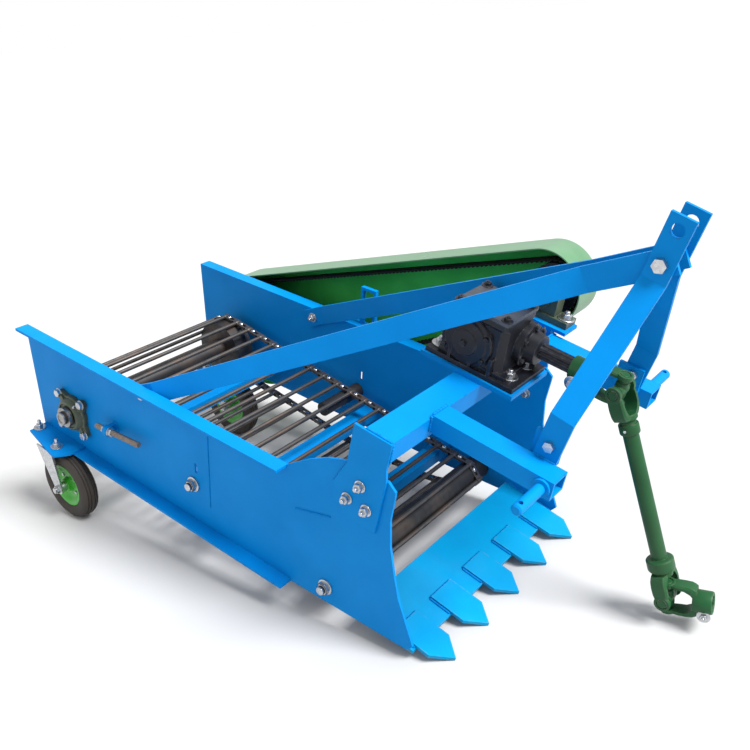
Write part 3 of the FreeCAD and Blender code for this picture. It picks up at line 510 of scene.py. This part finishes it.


# ------------------------------------------------------------ bearings, take-ups
def bearing(sgn):
    bm = bmesh.new()
    c = P(-1171, 119, sgn * 303)
    out = YY * sgn
    # rounded square flange with four lobes
    n = 64
    base, top = [], []
    for k in range(n):
        t = 2 * math.pi * k / n
        q = abs(math.cos(2 * (t - math.pi / 4)))
        r = 0.050 + 0.0215 * max(0.0, 1 - 2.2 * (1 - q)) if math.cos(4 * (t - math.pi / 4)) > -1 else 0.05
        lobe = max(0.0, math.cos(4 * (t - math.pi / 4)))
        r = 0.0505 + 0.0225 * lobe ** 1.6
        d = U1 * math.cos(t) + V1 * math.sin(t)
        base.append((d, r))
    rows = []
    for h, k in ((0.0002, 1.0), (0.0105, 1.0), (0.0130, 0.965)):
        rows.append([bm.verts.new(c + out * h + d * (r * k)) for d, r in base])
    rows.append([bm.verts.new(c + out * 0.0132 + d * 0.0465) for d, r in base])
    rows.append([bm.verts.new(c + out * 0.0250 + d * 0.0415) for d, r in base])
    rows.append([bm.verts.new(c + out * 0.0272 + d * 0.0385) for d, r in base])
    rows.append([bm.verts.new(c + out * 0.0272 + d * 0.0345) for d, r in base])
    rows.append([bm.verts.new(c + out * 0.0235 + d * 0.0335) for d, r in base])
    for A, B in zip(rows, rows[1:]):
        for k in range(n):
            bm.faces.new((A[k], A[(k + 1) % n], B[(k + 1) % n], B[k]))
    bm.faces.new(rows[0])
    bm.faces.new(rows[-1])
    # ribs to the bolt ears and a grease nipple
    for i in (-1, 1):
        for j in (-1, 1):
            d = (U1 * i + V1 * j).normalized()
            s = d.cross(YY).normalized()
            add_bar(bm, c, d, s, out, (0.040, 0.058), (-0.0085, 0.0085), (0.008, 0.0175))
            add_hex(bm, c + (U1 * i + V1 * j) * 0.0465 + out * 0.0130, out, 0.019, 0.0085, 1, 0.002, 0.0, 0.0125)
    g = c + (U1 * 0.6 + V1 * 0.8) * 0.040 + out * 0.022
    add_lathe(bm, g, (U1 * 0.6 + V1 * 0.8), [(0, 0.0035), (0.004, 0.0035), (0.005, 0.0022), (0.009, 0.0026), (0.011, 0.0015)], 10, 1)
    o = obj_from(bm, "flange bearing " + ("left" if sgn > 0 else "right"), [OLIVE, ZINC], "frame", 0.0007)
    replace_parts(o, "bearing_" + ("left" if sgn > 0 else "right"))


bearing(-1)
bearing(1)


def takeup(sgn):
    bm = bmesh.new()
    y = sgn * 326.0
    out = YY * sgn
    # lug welded to the plate, rounded outer end
    add_poly(bm, [P(-1007, 133, sgn * 303), P(-1007, 160, sgn * 303), P(-1007, 159, sgn * 335), P(-1007, 154, sgn * 340),
                  P(-1007, 139, sgn * 340), P(-1007, 134, sgn * 335)], U1 * 0.014, 0)
    add_weld(bm, P(-1007, 160.5, sgn * 303.5), P(-993, 160.5, sgn * 303.5), 0.0035, 0, 1)
    add_weld(bm, P(-1007.5, 133, sgn * 303.5), P(-1007.5, 160, sgn * 303.5), 0.0030, 0, 2)
    add_weld(bm, P(-992.5, 133, sgn * 303.5), P(-992.5, 160, sgn * 303.5), 0.0030, 0, 3)
    a, b = P(-1048, 142.3, y), P(-880, 157.4, y)
    d = (b - a).normalized()
    L = (b - a).length
    x, yy, d = basis(d)
    # threaded rod
    prof = [(0.0, 0.006)]
    h = 0.0015
    while h < L - 0.001:
        prof.append((h, 0.0075))
        prof.append((h + 0.0012, 0.0063))
        h += 0.0024
    prof.append((L, 0.0062))
    add_lathe(bm, a, d, prof, 14, 2)
    add_hex(bm, P(-1007, 146, y), -d, 0.0205, 0.0098, 1, 0.0015, 0, 0.0125)
    add_hex(bm, P(-993, 147.2, y), d, 0.0205, 0.0098, 1, 0.0015, 0, 0.0125)
    o = obj_from(bm, "take-up " + ("left" if sgn > 0 else "right"), [BLUE, ZINC, RUST], "frame", 0.0005)
    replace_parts(o, "takeup_" + ("left" if sgn > 0 else "right"))


takeup(-1)
takeup(1)

# ------------------------------------------------------------ gearbox
bm = bmesh.new()
n = 40


def lathe_y(bm, a, b, y, prof, nn=40, mi=0, sgn=1):
    add_lathe(bm, Gp(a, b, y), YY * sgn, prof, nn, mi)


# foot with corner lugs
foot = []
for a, y in ((-85, -8), (128, -8), (128, 126), (-85, 126)):
    pass
add_bar(bm, W(-110, 0, 582), HT, YY, HN, (-0.085, 0.128), (-0.008, 0.126), (-0.060, -0.049))
add_bar(bm, W(-110, 0, 582), HT, YY, HN, (-0.060, 0.102), (0.000, 0.118), (-0.052, -0.040))
# body between foot and cover, drawn in at the waist
rows = []
for b, a0, a1, y0, y1 in ((-50, -52, 92, 0, 112), (-30, -44, 84, 6, 106), (20, -42, 82, 6, 106), (52, -42, 84, 3, 109), (60, -43, 86, -5, 111), (71.5, -43, 86, -5, 111)):
    row = []
    for sa, sy in ((0, 0), (1, 0), (1, 1), (0, 1)):
        a, y = (a0, a1)[sa], (y0, y1)[sy]
        c = 14 if b < 55 else 6
        ca, cy = (c if sa == 0 else -c), (c if sy == 0 else -c)
        first = (sa, sy) in ((0, 0), (1, 1))
        p, q = (a, y + cy), (a + ca, y)
        row += [p, q] if first else [q, p]
    rows.append([bm.verts.new(Gp(a, b, y)) for a, y in row])
for A, B in zip(rows, rows[1:]):
    for k in range(8):
        bm.faces.new((A[k], A[(k + 1) % 8], B[(k + 1) % 8], B[k]))
bm.faces.new(rows[0])
bm.faces.new(rows[-1])
# round bearing cap facing the near side, with its ribs and centre screw
lathe_y(bm, 0, 0, 20, [(0, 0.058), (0.018, 0.060), (0.0215, 0.0575), (0.0225, 0.050), (0.0255, 0.047), (0.0275, 0.030), (0.031, 0.0275), (0.0315, 0.012)], 48, 0, -1)
add_hex(bm, Gp(0, 0, -11.2), -YY, 0.013, 0.006, 0)
for k in range(6):
    t = math.radians(30 + 60 * k)
    o = Gp(0, 0, -2.0) + (HT * math.cos(t) + HN * math.sin(t)) * 0.0525
    add_hex(bm, o, -YY, 0.0095, 0.0055, 0, 0.0012)
for k in range(8):
    t = math.radians(22.5 + 45 * k)
    d = HT * math.cos(t) + HN * math.sin(t)
    s = d.cross(YY)
    add_bar(bm, Gp(0, 0, 0), d, s, -YY, (0.028, 0.047), (-0.002, 0.002), (0.002, 0.0055))
# cap on the far side with the output shaft
lathe_y(bm, 0, 0, 98, [(0, 0.058), (0.020, 0.060), (0.0225, 0.056), (0.024, 0.040), (0.032, 0.036), (0.034, 0.030)], 48, 0, 1)
# input boss forward
o = Gp(62, 0, 95)
add_lathe(bm, o, HT, [(0, 0.050), (0.030, 0.047), (0.036, 0.0455), (0.0375, 0.036), (0.047, 0.034), (0.0605, 0.032), (0.0620, 0.027)], 48)
for k in range(6):
    t = math.radians(30 + 60 * k)
    p = Gp(99, 0, 95) + (YY * math.cos(t) + HN * math.sin(t)) * 0.0415
    add_hex(bm, p, HT, 0.011, 0.006, 0, 0.0012)
# webs from body to foot
for a in (-30, 20, 66):
    for y0, y1 in ((-6, 8), (104, 124)):
        add_bar(bm, Gp(a, 0, 0), HT, YY, HN, (-0.004, 0.004), (y0 * mm, y1 * mm), (-0.050, -0.012 if y0 < 0 else -0.020))
add_bar(bm, Gp(0, 0, 95), HT, YY, HN, (0.080, 0.120), (-0.004, 0.004), (-0.050, -0.030))
# filler plug
add_hex(bm, Gp(-44, 20, 59), -HT, 0.019, 0.008, 0, 0.002)
gb = obj_from(bm, "gearbox casting", BLACKC, "frame", 0.0016, True, 2)
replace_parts(gb, "gearbox_housing")
bm = bmesh.new()
for a in (-33, 76):
    for y in (4, 102):
        add_hex(bm, Gp(a, 80, y), HN, 0.013, 0.007, 0, 0.0015, 0.002)
for a in (-70, 98):
    for y in (24, 96) if a < 0 else (30, 96):
        add_hex(bm, Gp(a, -49, y), HN, 0.019, 0.010, 1, 0.0025, 0.006)
        add_hex(bm, Gp(a, -70.7 if a < 0 else -70.7, y), -HN, 0.019, 0.008, 1, 0.0015, 0.005)
obj_from(bm, "gearbox bolts", [BLACKC, ZINC], "frame", 0.0004)

# splined input shaft
bm = bmesh.new()
o = Gp(110, 0, 95)
N = 8 * 6
prof = [(0.0, 1), (0.014, 1), (0.0145, 1), (0.060, 1), (0.086, 1)]
x, y, d = basis(HT)
rings = []
for i, (h, _) in enumerate(prof):
    row = []
    for k in range(N):
        t = 2 * math.pi * k / N
        r = 0.0174
        if i >= 2:
            r = 0.0174 if (k % 6) < 3 else 0.0142
        row.append(bm.verts.new(o + d * h + (x * math.cos(t) + y * math.sin(t)) * r))
    rings.append(row)
for A, B in zip(rings, rings[1:]):
    for k in range(N):
        bm.faces.new((A[k], A[(k + 1) % N], B[(k + 1) % N], B[k]))
bm.faces.new(rings[0])
bm.faces.new(rings[-1])
add_lathe(bm, Gp(194, 0, 95), HT, [(0, 0.016), (0.034, 0.016)], 24)
sh = obj_from(bm, "splined shaft", BLACKC, "frame", 0.0004)
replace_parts(sh, "input_shaft")


# ------------------------------------------------------------ yokes and drive shaft
C1, C2 = W(179, 95, 499.1), None
D1 = Vector((0.2586, 0, -0.966)).normalized()
TL = 0.4556
C2 = C1 + D1 * TL
yaw, pit = math.radians(10), math.radians(4)
EH = Vector((math.cos(pit) * math.cos(yaw), math.sin(yaw), math.sin(pit) * math.cos(yaw)))
N2 = Vector((-math.sin(pit), 0, math.cos(pit)))


def add_yoke(bm, c, axis, pin, root=0.047):
    """Forged fork: two curved arms with round eyes, meeting at a foot."""
    axis, pin = Vector(axis).normalized(), Vector(pin).normalized()
    side = axis.cross(pin)
    for k in (-1, 1):
        # arm outline in the plane (axis, pin), thick at the root, with the eye's flat outside
        eye = c + pin * (k * 0.0265)
        # eye with a rim round its cap
        add_ring(bm, c + pin * (k * 0.0267), pin * k, [(0, 0.0100), (0, 0.0164), (0.0088, 0.0164), (0.0092, 0.0150), (0.0092, 0.0112), (0.0070, 0.0108), (0.0068, 0.0100)], 32)
        add_lathe(bm, c + pin * (k * 0.0332), pin * k, [(0, 0.0099), (0.0008, 0.0099), (0.0010, 0.0085)], 24, 1)
        # arm: loft of sections along the axis (half width across side, inner and outer distance)
        rows = []
        for h, w, i0, i1 in ((0.009, 0.0140, 0.0268, 0.0352), (0.020, 0.0158, 0.0268, 0.0358), (0.034, 0.0162, 0.0262, 0.0358),
                             (0.046, 0.0163, 0.0200, 0.0352), (0.053, 0.0160, 0.0100, 0.0325), (0.058, 0.0155, 0.0000, 0.0290)):
            q = c + axis * h
            rows.append([bm.verts.new(q + side * a + pin * (k * b)) for a, b in
                         ((-w, i0), (w, i0), (w, (i0 + i1 * 2) / 3), (w * 0.80, i1), (-w * 0.80, i1), (-w, (i0 + i1 * 2) / 3))])
        for A, B in zip(rows, rows[1:]):
            for j in range(6):
                bm.faces.new((A[j], A[(j + 1) % 6], B[(j + 1) % 6], B[j]))
        bm.faces.new(rows[0])
        bm.faces.new(rows[-1])


def add_cross(bm, c, p, q):
    for d in (p, q):
        add_lathe(bm, c - d * 0.0355, d, [(0, 0.0088), (0.001, 0.0093), (0.017, 0.0093), (0.018, 0.0120), (0.024, 0.0130),
                                           (0.047, 0.0130), (0.053, 0.0120), (0.054, 0.0093), (0.070, 0.0093), (0.071, 0.0088)], 28)


bm = bmesh.new()
add_yoke(bm, C1, -HT, HN)
L0 = (C1 - Gp(196, 0, 95)).dot(HT)
add_ring(bm, Gp(196, 0, 95), HT, [(0.0, 0.0170), (0.0, 0.0235), (0.0015, 0.0250), (0.026, 0.0250), (0.030, 0.0262), (L0 - 0.053, 0.0262), (L0 - 0.049, 0.0240), (L0 - 0.049, 0.0170)], 40)
# clamp bolt across the hub
cb = Gp(212, -22, 95)
add_lathe(bm, cb - YY * 0.025, YY, [(0, 0.0085), (0.050, 0.0085)], 16)
add_hex(bm, cb - YY * 0.025, -YY, 0.016, 0.008, 1, 0.0015)
add_hex(bm, cb + YY * 0.025, YY, 0.016, 0.010, 1, 0.0015)
y1 = obj_from(bm, "gearbox yoke", [GREEN_D, ZINC], "frame", 0.0011)
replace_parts(y1, "input_yoke")

bm = bmesh.new()
add_cross(bm, C1, HN, YY)
o = obj_from(bm, "upper cross piece", GREEN_D, "upper_joint", 0.0005)
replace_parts(o, "upper_cross")

bm = bmesh.new()
add_yoke(bm, C1, D1, YY)
add_yoke(bm, C2, -D1, YY)
add_lathe(bm, C1, D1, [(0.050, 0.0200), (0.054, 0.0215), (0.060, 0.0215), (0.063, 0.0185), (0.066, 0.0160), (0.070, 0.0160), (0.0705, 0.0195),
                       (0.0725, 0.0203), (0.0895, 0.0203), (0.0915, 0.0195), (0.0920, 0.0160), (TL - 0.089, 0.0160), (TL - 0.0880, 0.0250),
                       (TL - 0.0855, 0.0280), (TL - 0.0660, 0.0280), (TL - 0.0625, 0.0262), (TL - 0.0620, 0.0215), (TL - 0.056, 0.0215), (TL - 0.050, 0.0200)], 40)
# pin through the upper collar
add_lathe(bm, C1 + D1 * 0.081 - YY * 0.0225, YY, [(0, 0.003), (0.045, 0.003)], 12, 1)
tu = obj_from(bm, "drive shaft", [GREEN_D, ZINC], "drive_shaft", 0.0010)
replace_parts(tu, "drive_tube")

bm = bmesh.new()
add_cross(bm, C2, N2, YY)
o = obj_from(bm, "lower cross piece", GREEN_D, "lower_joint", 0.0005)
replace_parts(o, "lower_cross")

bm = bmesh.new()
add_yoke(bm, C2, EH, N2)
# splined hub
x, y, d = basis(EH)
N = 48
rows_o, rows_i = [], []
for h, r in ((0.050, 0.0215), (0.056, 0.0238), (0.0845, 0.0238), (0.088, 0.0222)):
    rows_o.append([bm.verts.new(C2 + d * h + (x * math.cos(2 * math.pi * k / N) + y * math.sin(2 * math.pi * k / N)) * r) for k in range(N)])
for h in (0.088, 0.086, 0.060):
    rr = []
    for k in range(N):
        r = (0.0176 if (k % 8) < 4 else 0.0150) if h < 0.087 else 0.0195
        rr.append(bm.verts.new(C2 + d * h + (x * math.cos(2 * math.pi * k / N) + y * math.sin(2 * math.pi * k / N)) * r))
    rows_i.append(rr)
allr = rows_o + rows_i
for A, B in zip(allr, allr[1:]):
    for k in range(N):
        bm.faces.new((A[k], A[(k + 1) % N], B[(k + 1) % N], B[k]))
bm.faces.new(allr[-1])
bm.faces.new(allr[0])
sd = EH.cross(N2).normalized()
cb = C2 + EH * 0.072 - N2 * 0.0225
add_lathe(bm, cb - sd * 0.019, sd, [(0, 0.0075), (0.038, 0.0075)], 16)
add_hex(bm, cb - sd * 0.019, -sd, 0.014, 0.007, 1, 0.001)
add_hex(bm, cb + sd * 0.019, sd, 0.014, 0.007, 1, 0.001, 0.004)
ey = obj_from(bm, "end yoke", [GREEN_D, ZINC], "coupling", 0.0009)
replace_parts(ey, "end_yoke")


# ------------------------------------------------------------ belt cover and belts
def loop_pts(c1, r1, c2, r2, n1=40, n2=28):
    dx, dz = c2[0] - c1[0], c2[1] - c1[1]
    base = math.atan2(dz, dx)
    k = math.acos((r1 - r2) / math.hypot(dx, dz))
    pts = []
    for i in range(n2 + 1):
        t = base + k - 2 * k * i / n2
        pts.append((c2[0] + r2 * math.cos(t), c2[1] + r2 * math.sin(t)))
    for i in range(n1 + 1):
        t = base - k - (2 * math.pi - 2 * k) * i / n1
        pts.append((c1[0] + r1 * math.cos(t), c1[1] + r1 * math.sin(t)))
    return pts


RX, RZ = -1171 * PC + 119 * PS, 1171 * PS + 119 * PC
CF = (-131.0, 585.0)
bm = bmesh.new()
layers = [(355.0, 178.0, 94.0), (355.0, 175.0, 91.0)]
ro = loop_pts((RX, RZ), 178.0, CF, 94.0)
ri = loop_pts((RX, RZ), 175.2, CF, 91.2)
rf = loop_pts((RX, RZ), 172.0, CF, 88.0)
n = len(ro)


def row(pts, y):
    return [bm.verts.new(W(x, y, z)) for x, z in pts]


R0, R1, R2 = row(ro, 355.0), row(ro, 449.0), row(rf, 455.0)
I0, I1, I2 = row(ri, 355.0), row(ri, 446.5), row(loop_pts((RX, RZ), 170.0, CF, 86.0), 452.2)
# material 1 on the inner rows is the inside green with its painted light
for A, B, mi in ((R0, R1, 0), (R1, R2, 0), (I0, I1, 1), (I1, I2, 1)):
    for k in range(n):
        bm.faces.new((A[k], A[(k + 1) % n], B[(k + 1) % n], B[k])).material_index = mi
for k in range(n):
    bm.faces.new((R0[k], R0[(k + 1) % n], I0[(k + 1) % n], I0[k])).material_index = 0
bm.faces.new(R2).material_index = 0
bm.faces.new(I2).material_index = 1
for u0, v0 in ((-1000, 216), (-800, 209)):
    p = P(u0, v0, 455.2)
    add_hex(bm, p, YY, 0.013, 0.006, 2, 0.0015)
cv = obj_from(bm, "belt cover", [GREEN_C, GREEN_IN_PAINTED_LIGHT, ZINC], "frame", 0.0)
cv.data.set_sharp_from_angle(angle=math.radians(50))
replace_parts(cv, "belt_cover")

bm = bmesh.new()
for y0 in (375.0, 395.0):
    lo_, hi_ = loop_pts((RX, RZ), 145.6, (-110.0, 582.0), 60.6, 150, 70), loop_pts((RX, RZ), 153.5, (-110.0, 582.0), 68.5, 150, 70)
    # resample evenly so that the cogs are even
    def even(pts, m):
        cl = pts + [pts[0]]
        sg = [math.hypot(b[0] - a[0], b[1] - a[1]) for a, b in zip(cl, cl[1:])]
        T = sum(sg)
        out = []
        i, acc = 0, 0.0
        for k in range(m):
            s = T * k / m
            while s > acc + sg[i] and i < len(sg) - 1:
                acc += sg[i]
                i += 1
            t = (s - acc) / sg[i] if sg[i] > 1e-9 else 0.0
            a, b = cl[i], cl[i + 1]
            tx, tz = (b[0] - a[0]) / max(sg[i], 1e-9), (b[1] - a[1]) / max(sg[i], 1e-9)
            out.append((a[0] + (b[0] - a[0]) * t, a[1] + (b[1] - a[1]) * t, tx, tz))
        return out
    m = 660
    base = even([p for i, p in enumerate(hi_) if i == 0 or p != hi_[i - 1]], m)
    rows = []
    for k, (x, z, tx, tz) in enumerate(base):
        nx, nz = tz, -tx          # inward for a clockwise line
        dpt = 7.4 if (k % 3) == 0 else 4.2
        a = W(x, y0, z)
        b = W(x, y0 + 16, z)
        c = W(x + nx * dpt, y0 + 12.5, z + nz * dpt)
        e = W(x + nx * dpt, y0 + 3.5, z + nz * dpt)
        rows.append([bm.verts.new(q) for q in (a, b, c, e)])
    for k in range(m):
        A, B = rows[k], rows[(k + 1) % m]
        for j in range(4):
            bm.faces.new((A[j], A[(j + 1) % 4], B[(j + 1) % 4], B[j]))
bl = obj_from(bm, "cogged belts", RUBBER, "frame", 0.0, False)
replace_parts(bl, "drive_belts")

# ------------------------------------------------------------ bolts, welds and small trim on the frame
bm = bmesh.new()
# near and far plates: strut bolts, post bolts, roller nut threads
for sgn in (-1, 1):
    out = YY * sgn
    add_hex(bm, P(-877, 287, sgn * 303), out, 0.0165, 0.0085, 1, 0.0020, 0.0, 0.0125)
    add_hex(bm, P(-877, 287, sgn * 289), -out, 0.0165, 0.009, 1, 0.002, 0.006, 0.0135)
    for u, v in ((-216, 357), (-247, 314), (-199, 309)):
        add_hex(bm, P(u, v, sgn * 309), out, 0.0175, 0.0105, 1, 0.0025, 0.006, 0.0130)
        add_hex(bm, P(u, v, sgn * 297), -out, 0.0175, 0.009, 1, 0.002, 0, 0.0130)
    # zinc washers and nuts over the idler's and the front roller's, with their threaded ends
    add_lathe(bm, P(-712, 115, sgn * 303.1), out, [(0, 0.0194), (0.0042, 0.0194), (0.0046, 0.0186)], 28, 1)
    add_hex(bm, P(-712, 115, sgn * 307), out, 0.0266, 0.0114, 1)
    add_lathe(bm, P(-301, 49, sgn * 303.1), out, [(0, 0.0185), (0.0033, 0.0185), (0.0036, 0.0178)], 28, 1)
    add_hex(bm, P(-301, 49, sgn * 306), out, 0.0266, 0.0104, 1)
    add_lathe(bm, P(-712, 115, sgn * 318), out, [(0, 0.0098), (0.006, 0.0098), (0.0075, 0.0085)], 20, 1)
    add_lathe(bm, P(-301, 49, sgn * 314), out, [(0, 0.0098), (0.009, 0.0098), (0.0105, 0.0085)], 20, 1)
    # weld beads
    add_weld(bm, P(-655, 279, sgn * 303.4), P(-658, 73, sgn * 303.4), 0.0016, 0, 4)
    add_weld(bm, P(-389, 212, sgn * 303.4), P(-293, 239, sgn * 303.4), 0.0024, 0, 5)
    add_weld(bm, P(-285, 291, sgn * 303.8), P(-285, 334, sgn * 303.8), 0.0030, 0, 6)
    add_weld(bm, P(-284, 336, sgn * 303.8), P(-252, 394, sgn * 303.8), 0.0030, 0, 7)
    add_weld(bm, Hp(-62, 0.5, sgn * 302.6), Hp(-2, 0.5, sgn * 302.6), 0.0032, 0, 8)
    add_weld(bm, Hp(0.6, -44, sgn * 302.6), Hp(0.6, -2, sgn * 302.6), 0.0032, 0, 9)
    # share to plate
    for s0, s1 in ((85, 214),):
        def S(s, up=1.0):
            a = math.radians(19.4)
            return W(-s * math.cos(a) + up * math.sin(a), sgn * 296.4, s * math.sin(a) + up * math.cos(a))
        add_weld(bm, S(s0), S(s1), 0.0035, 0, 10)
for k in range(5):
    yc = (k - 2) * 125.4
    a = math.radians(19.4)

    def S2(s, y, up):
        return W(-s * math.cos(a) + up * math.sin(a), y, s * math.sin(a) + up * math.cos(a))
    add_weld(bm, S2(129, yc - 36, 1.5), S2(129, yc + 36, 1.5), 0.0036, 0, 20 + k)
    add_weld(bm, S2(76, yc - 37.5, 1.5), S2(128, yc - 37.5, 1.5), 0.0030, 0, 30 + k)
    add_weld(bm, S2(76, yc + 37.5, 1.5), S2(128, yc + 37.5, 1.5), 0.0030, 0, 40 + k)
# hitch tubes to the beam
for y0 in (-185, 239):
    add_weld(bm, Hp(1, 8.6, y0 + 2), Hp(1, 8.6, y0 + 48), 0.0030, 0, 50)
    for yy in (y0 - 0.5, y0 + 50.5):
        add_weld(bm, Hp(1.5, -30, yy), Hp(1.5, 6, yy), 0.0028, 0, 51)
# mast feet on the tubes
for y0 in (-135, 239):
    add_weld(bm, Hp(196, 8.6, y0 + (-0.5 if y0 < 0 else 0.5)), Hp(238, 8.6, y0 + (-0.5 if y0 < 0 else 0.5)), 0.0026, 0, 52)
# gearbox mount on the beam
add_weld(bm, Hp(1.0, 0.6, -12), Hp(1.0, 0.6, 130), 0.0030, 0, 53)
# pillow block bolts
for a in (-68, 68):
    add_hex(bm, Gp(a, -32, 322), HN, 0.020, 0.011, 1, 0.003, 0.006)
# wheel bracket bolts, threads upwards
for u, y in ((-1317, -331), (-1205, -353)):
    v = 10 + 6 * (-402 - u) / 934.0 + 5
    add_hex(bm, P(u, v, y), V1, 0.017, 0.010, 1, 0.0025, 0.012)
for u, y in ((-1322, 318), (-1262, 318), (-1322, 225), (-1262, 225)):
    add_hex(bm, P(u, 10 - 6 * (u + 1336) / 934.0 + 0.0 if y < 297 else 16 - 6 * (u + 1336) / 934.0, y), V1, 0.017, 0.010, 1, 0.0025, 0.008)
trim = obj_from(bm, "bolts and welds", [BLUE, ZINC], "frame", 0.0004)

# shaft end face, on the right
bm = bmesh.new()
add_ring(bm, P(-1171, 119, -345.9), -YY, [(0, 0.0120), (0, 0.0172), (0.004, 0.0172), (0.005, 0.0160), (0.005, 0.0120)], 32)
add_lathe(bm, P(-1171, 119, -345.9), -YY, [(0, 0.0121), (0.0035, 0.0121)], 24)
for t in (30, 150):
    d = U1 * math.cos(math.radians(t)) + V1 * math.sin(math.radians(t))
    add_lathe(bm, P(-1171, 119, -335.5) + d * 0.0262, d, [(0, 0.0038), (0.0015, 0.0038), (0.0016, 0.0020)], 12)
obj_from(bm, "shaft end", BARE, "frame", 0.0003)

# ------------------------------------------------------------ floor, light, camera
bm = bmesh.new()
add_bar(bm, Vector((0, 0, 0)), XX, YY, ZZ, (-60, 60), (-60, 60), (-0.03, -0.0005))
me = bpy.data.meshes.new("floor")
bm.to_mesh(me)
bm.free()
floor = bpy.data.objects.new("floor", me)
bpy.context.scene.collection.objects.link(floor)
fm, nt, bs = newmat("floor")
fn = noise(nt, 3.0, 3.0)
nt.links.new(mixc(nt, fn.outputs["Fac"], (0.50, 0.50, 0.50), (0.52, 0.52, 0.52)), bs.inputs["Base Color"])
bs.inputs["Roughness"].default_value = 0.7
me.materials.append(fm)

bpy.context.scene.view_settings.view_transform = "Standard"
bpy.context.scene.view_settings.look = "None"
w = bpy.data.worlds.new("studio")
bpy.context.scene.world = w
w.use_nodes = True
nt = w.node_tree
nt.nodes["Background"].inputs["Color"].default_value = (1.0, 1.0, 1.0, 1)
lp = nt.nodes.new("ShaderNodeLightPath")
ma = nt.nodes.new("ShaderNodeMath")
ma.operation = "MULTIPLY_ADD"
nt.links.new(lp.outputs["Is Camera Ray"], ma.inputs[0])
ma.inputs[1].default_value = 0.28
ma.inputs[2].default_value = 0.72
nt.links.new(ma.outputs["Value"], nt.nodes["Background"].inputs["Strength"])

sun = bpy.data.lights.new("sun", "SUN")
sun.energy = 5.9
sun.angle = math.radians(24)
so = bpy.data.objects.new("sun", sun)
bpy.context.scene.collection.objects.link(so)
so.rotation_euler = Vector((-2.0, -0.35, -2.5)).to_track_quat("-Z", "Y").to_euler()


def area(name, loc, at, size, power, col=(1, 1, 1)):
    l = bpy.data.lights.new(name, "AREA")
    l.shape = "RECTANGLE"
    l.size, l.size_y = size
    l.energy = power
    l.color = col
    o = bpy.data.objects.new(name, l)
    bpy.context.scene.collection.objects.link(o)
    o.location = loc
    o.rotation_euler = (Vector(at) - Vector(loc)).to_track_quat("-Z", "Y").to_euler()


area("fill", (-1.0, -3.2, 1.6), (-0.1, 0, 0.3), (2.6, 1.8), 10)

cam = bpy.data.cameras.new("camera")
co = bpy.data.objects.new("camera", cam)
bpy.context.scene.collection.objects.link(co)
az, el, roll = math.radians(40.664), math.radians(23.251), math.radians(-5.07)
back = Vector((math.sin(az) * math.cos(el), -math.cos(az) * math.cos(el), math.sin(el)))
right = Vector((math.cos(az), math.sin(az), 0))
up = right.cross(-back)
r2 = right * math.cos(roll) + up * math.sin(roll)
u2 = -right * math.sin(roll) + up * math.cos(roll)
co.matrix_world = Matrix(((r2.x, u2.x, back.x, CAM.x), (r2.y, u2.y, back.y, CAM.y), (r2.z, u2.z, back.z, CAM.z), (0, 0, 0, 1)))
cam.sensor_width = 36.0
cam.lens = 41.395
cam.clip_start = 0.05
cam.clip_end = 60
bpy.context.scene.camera = co
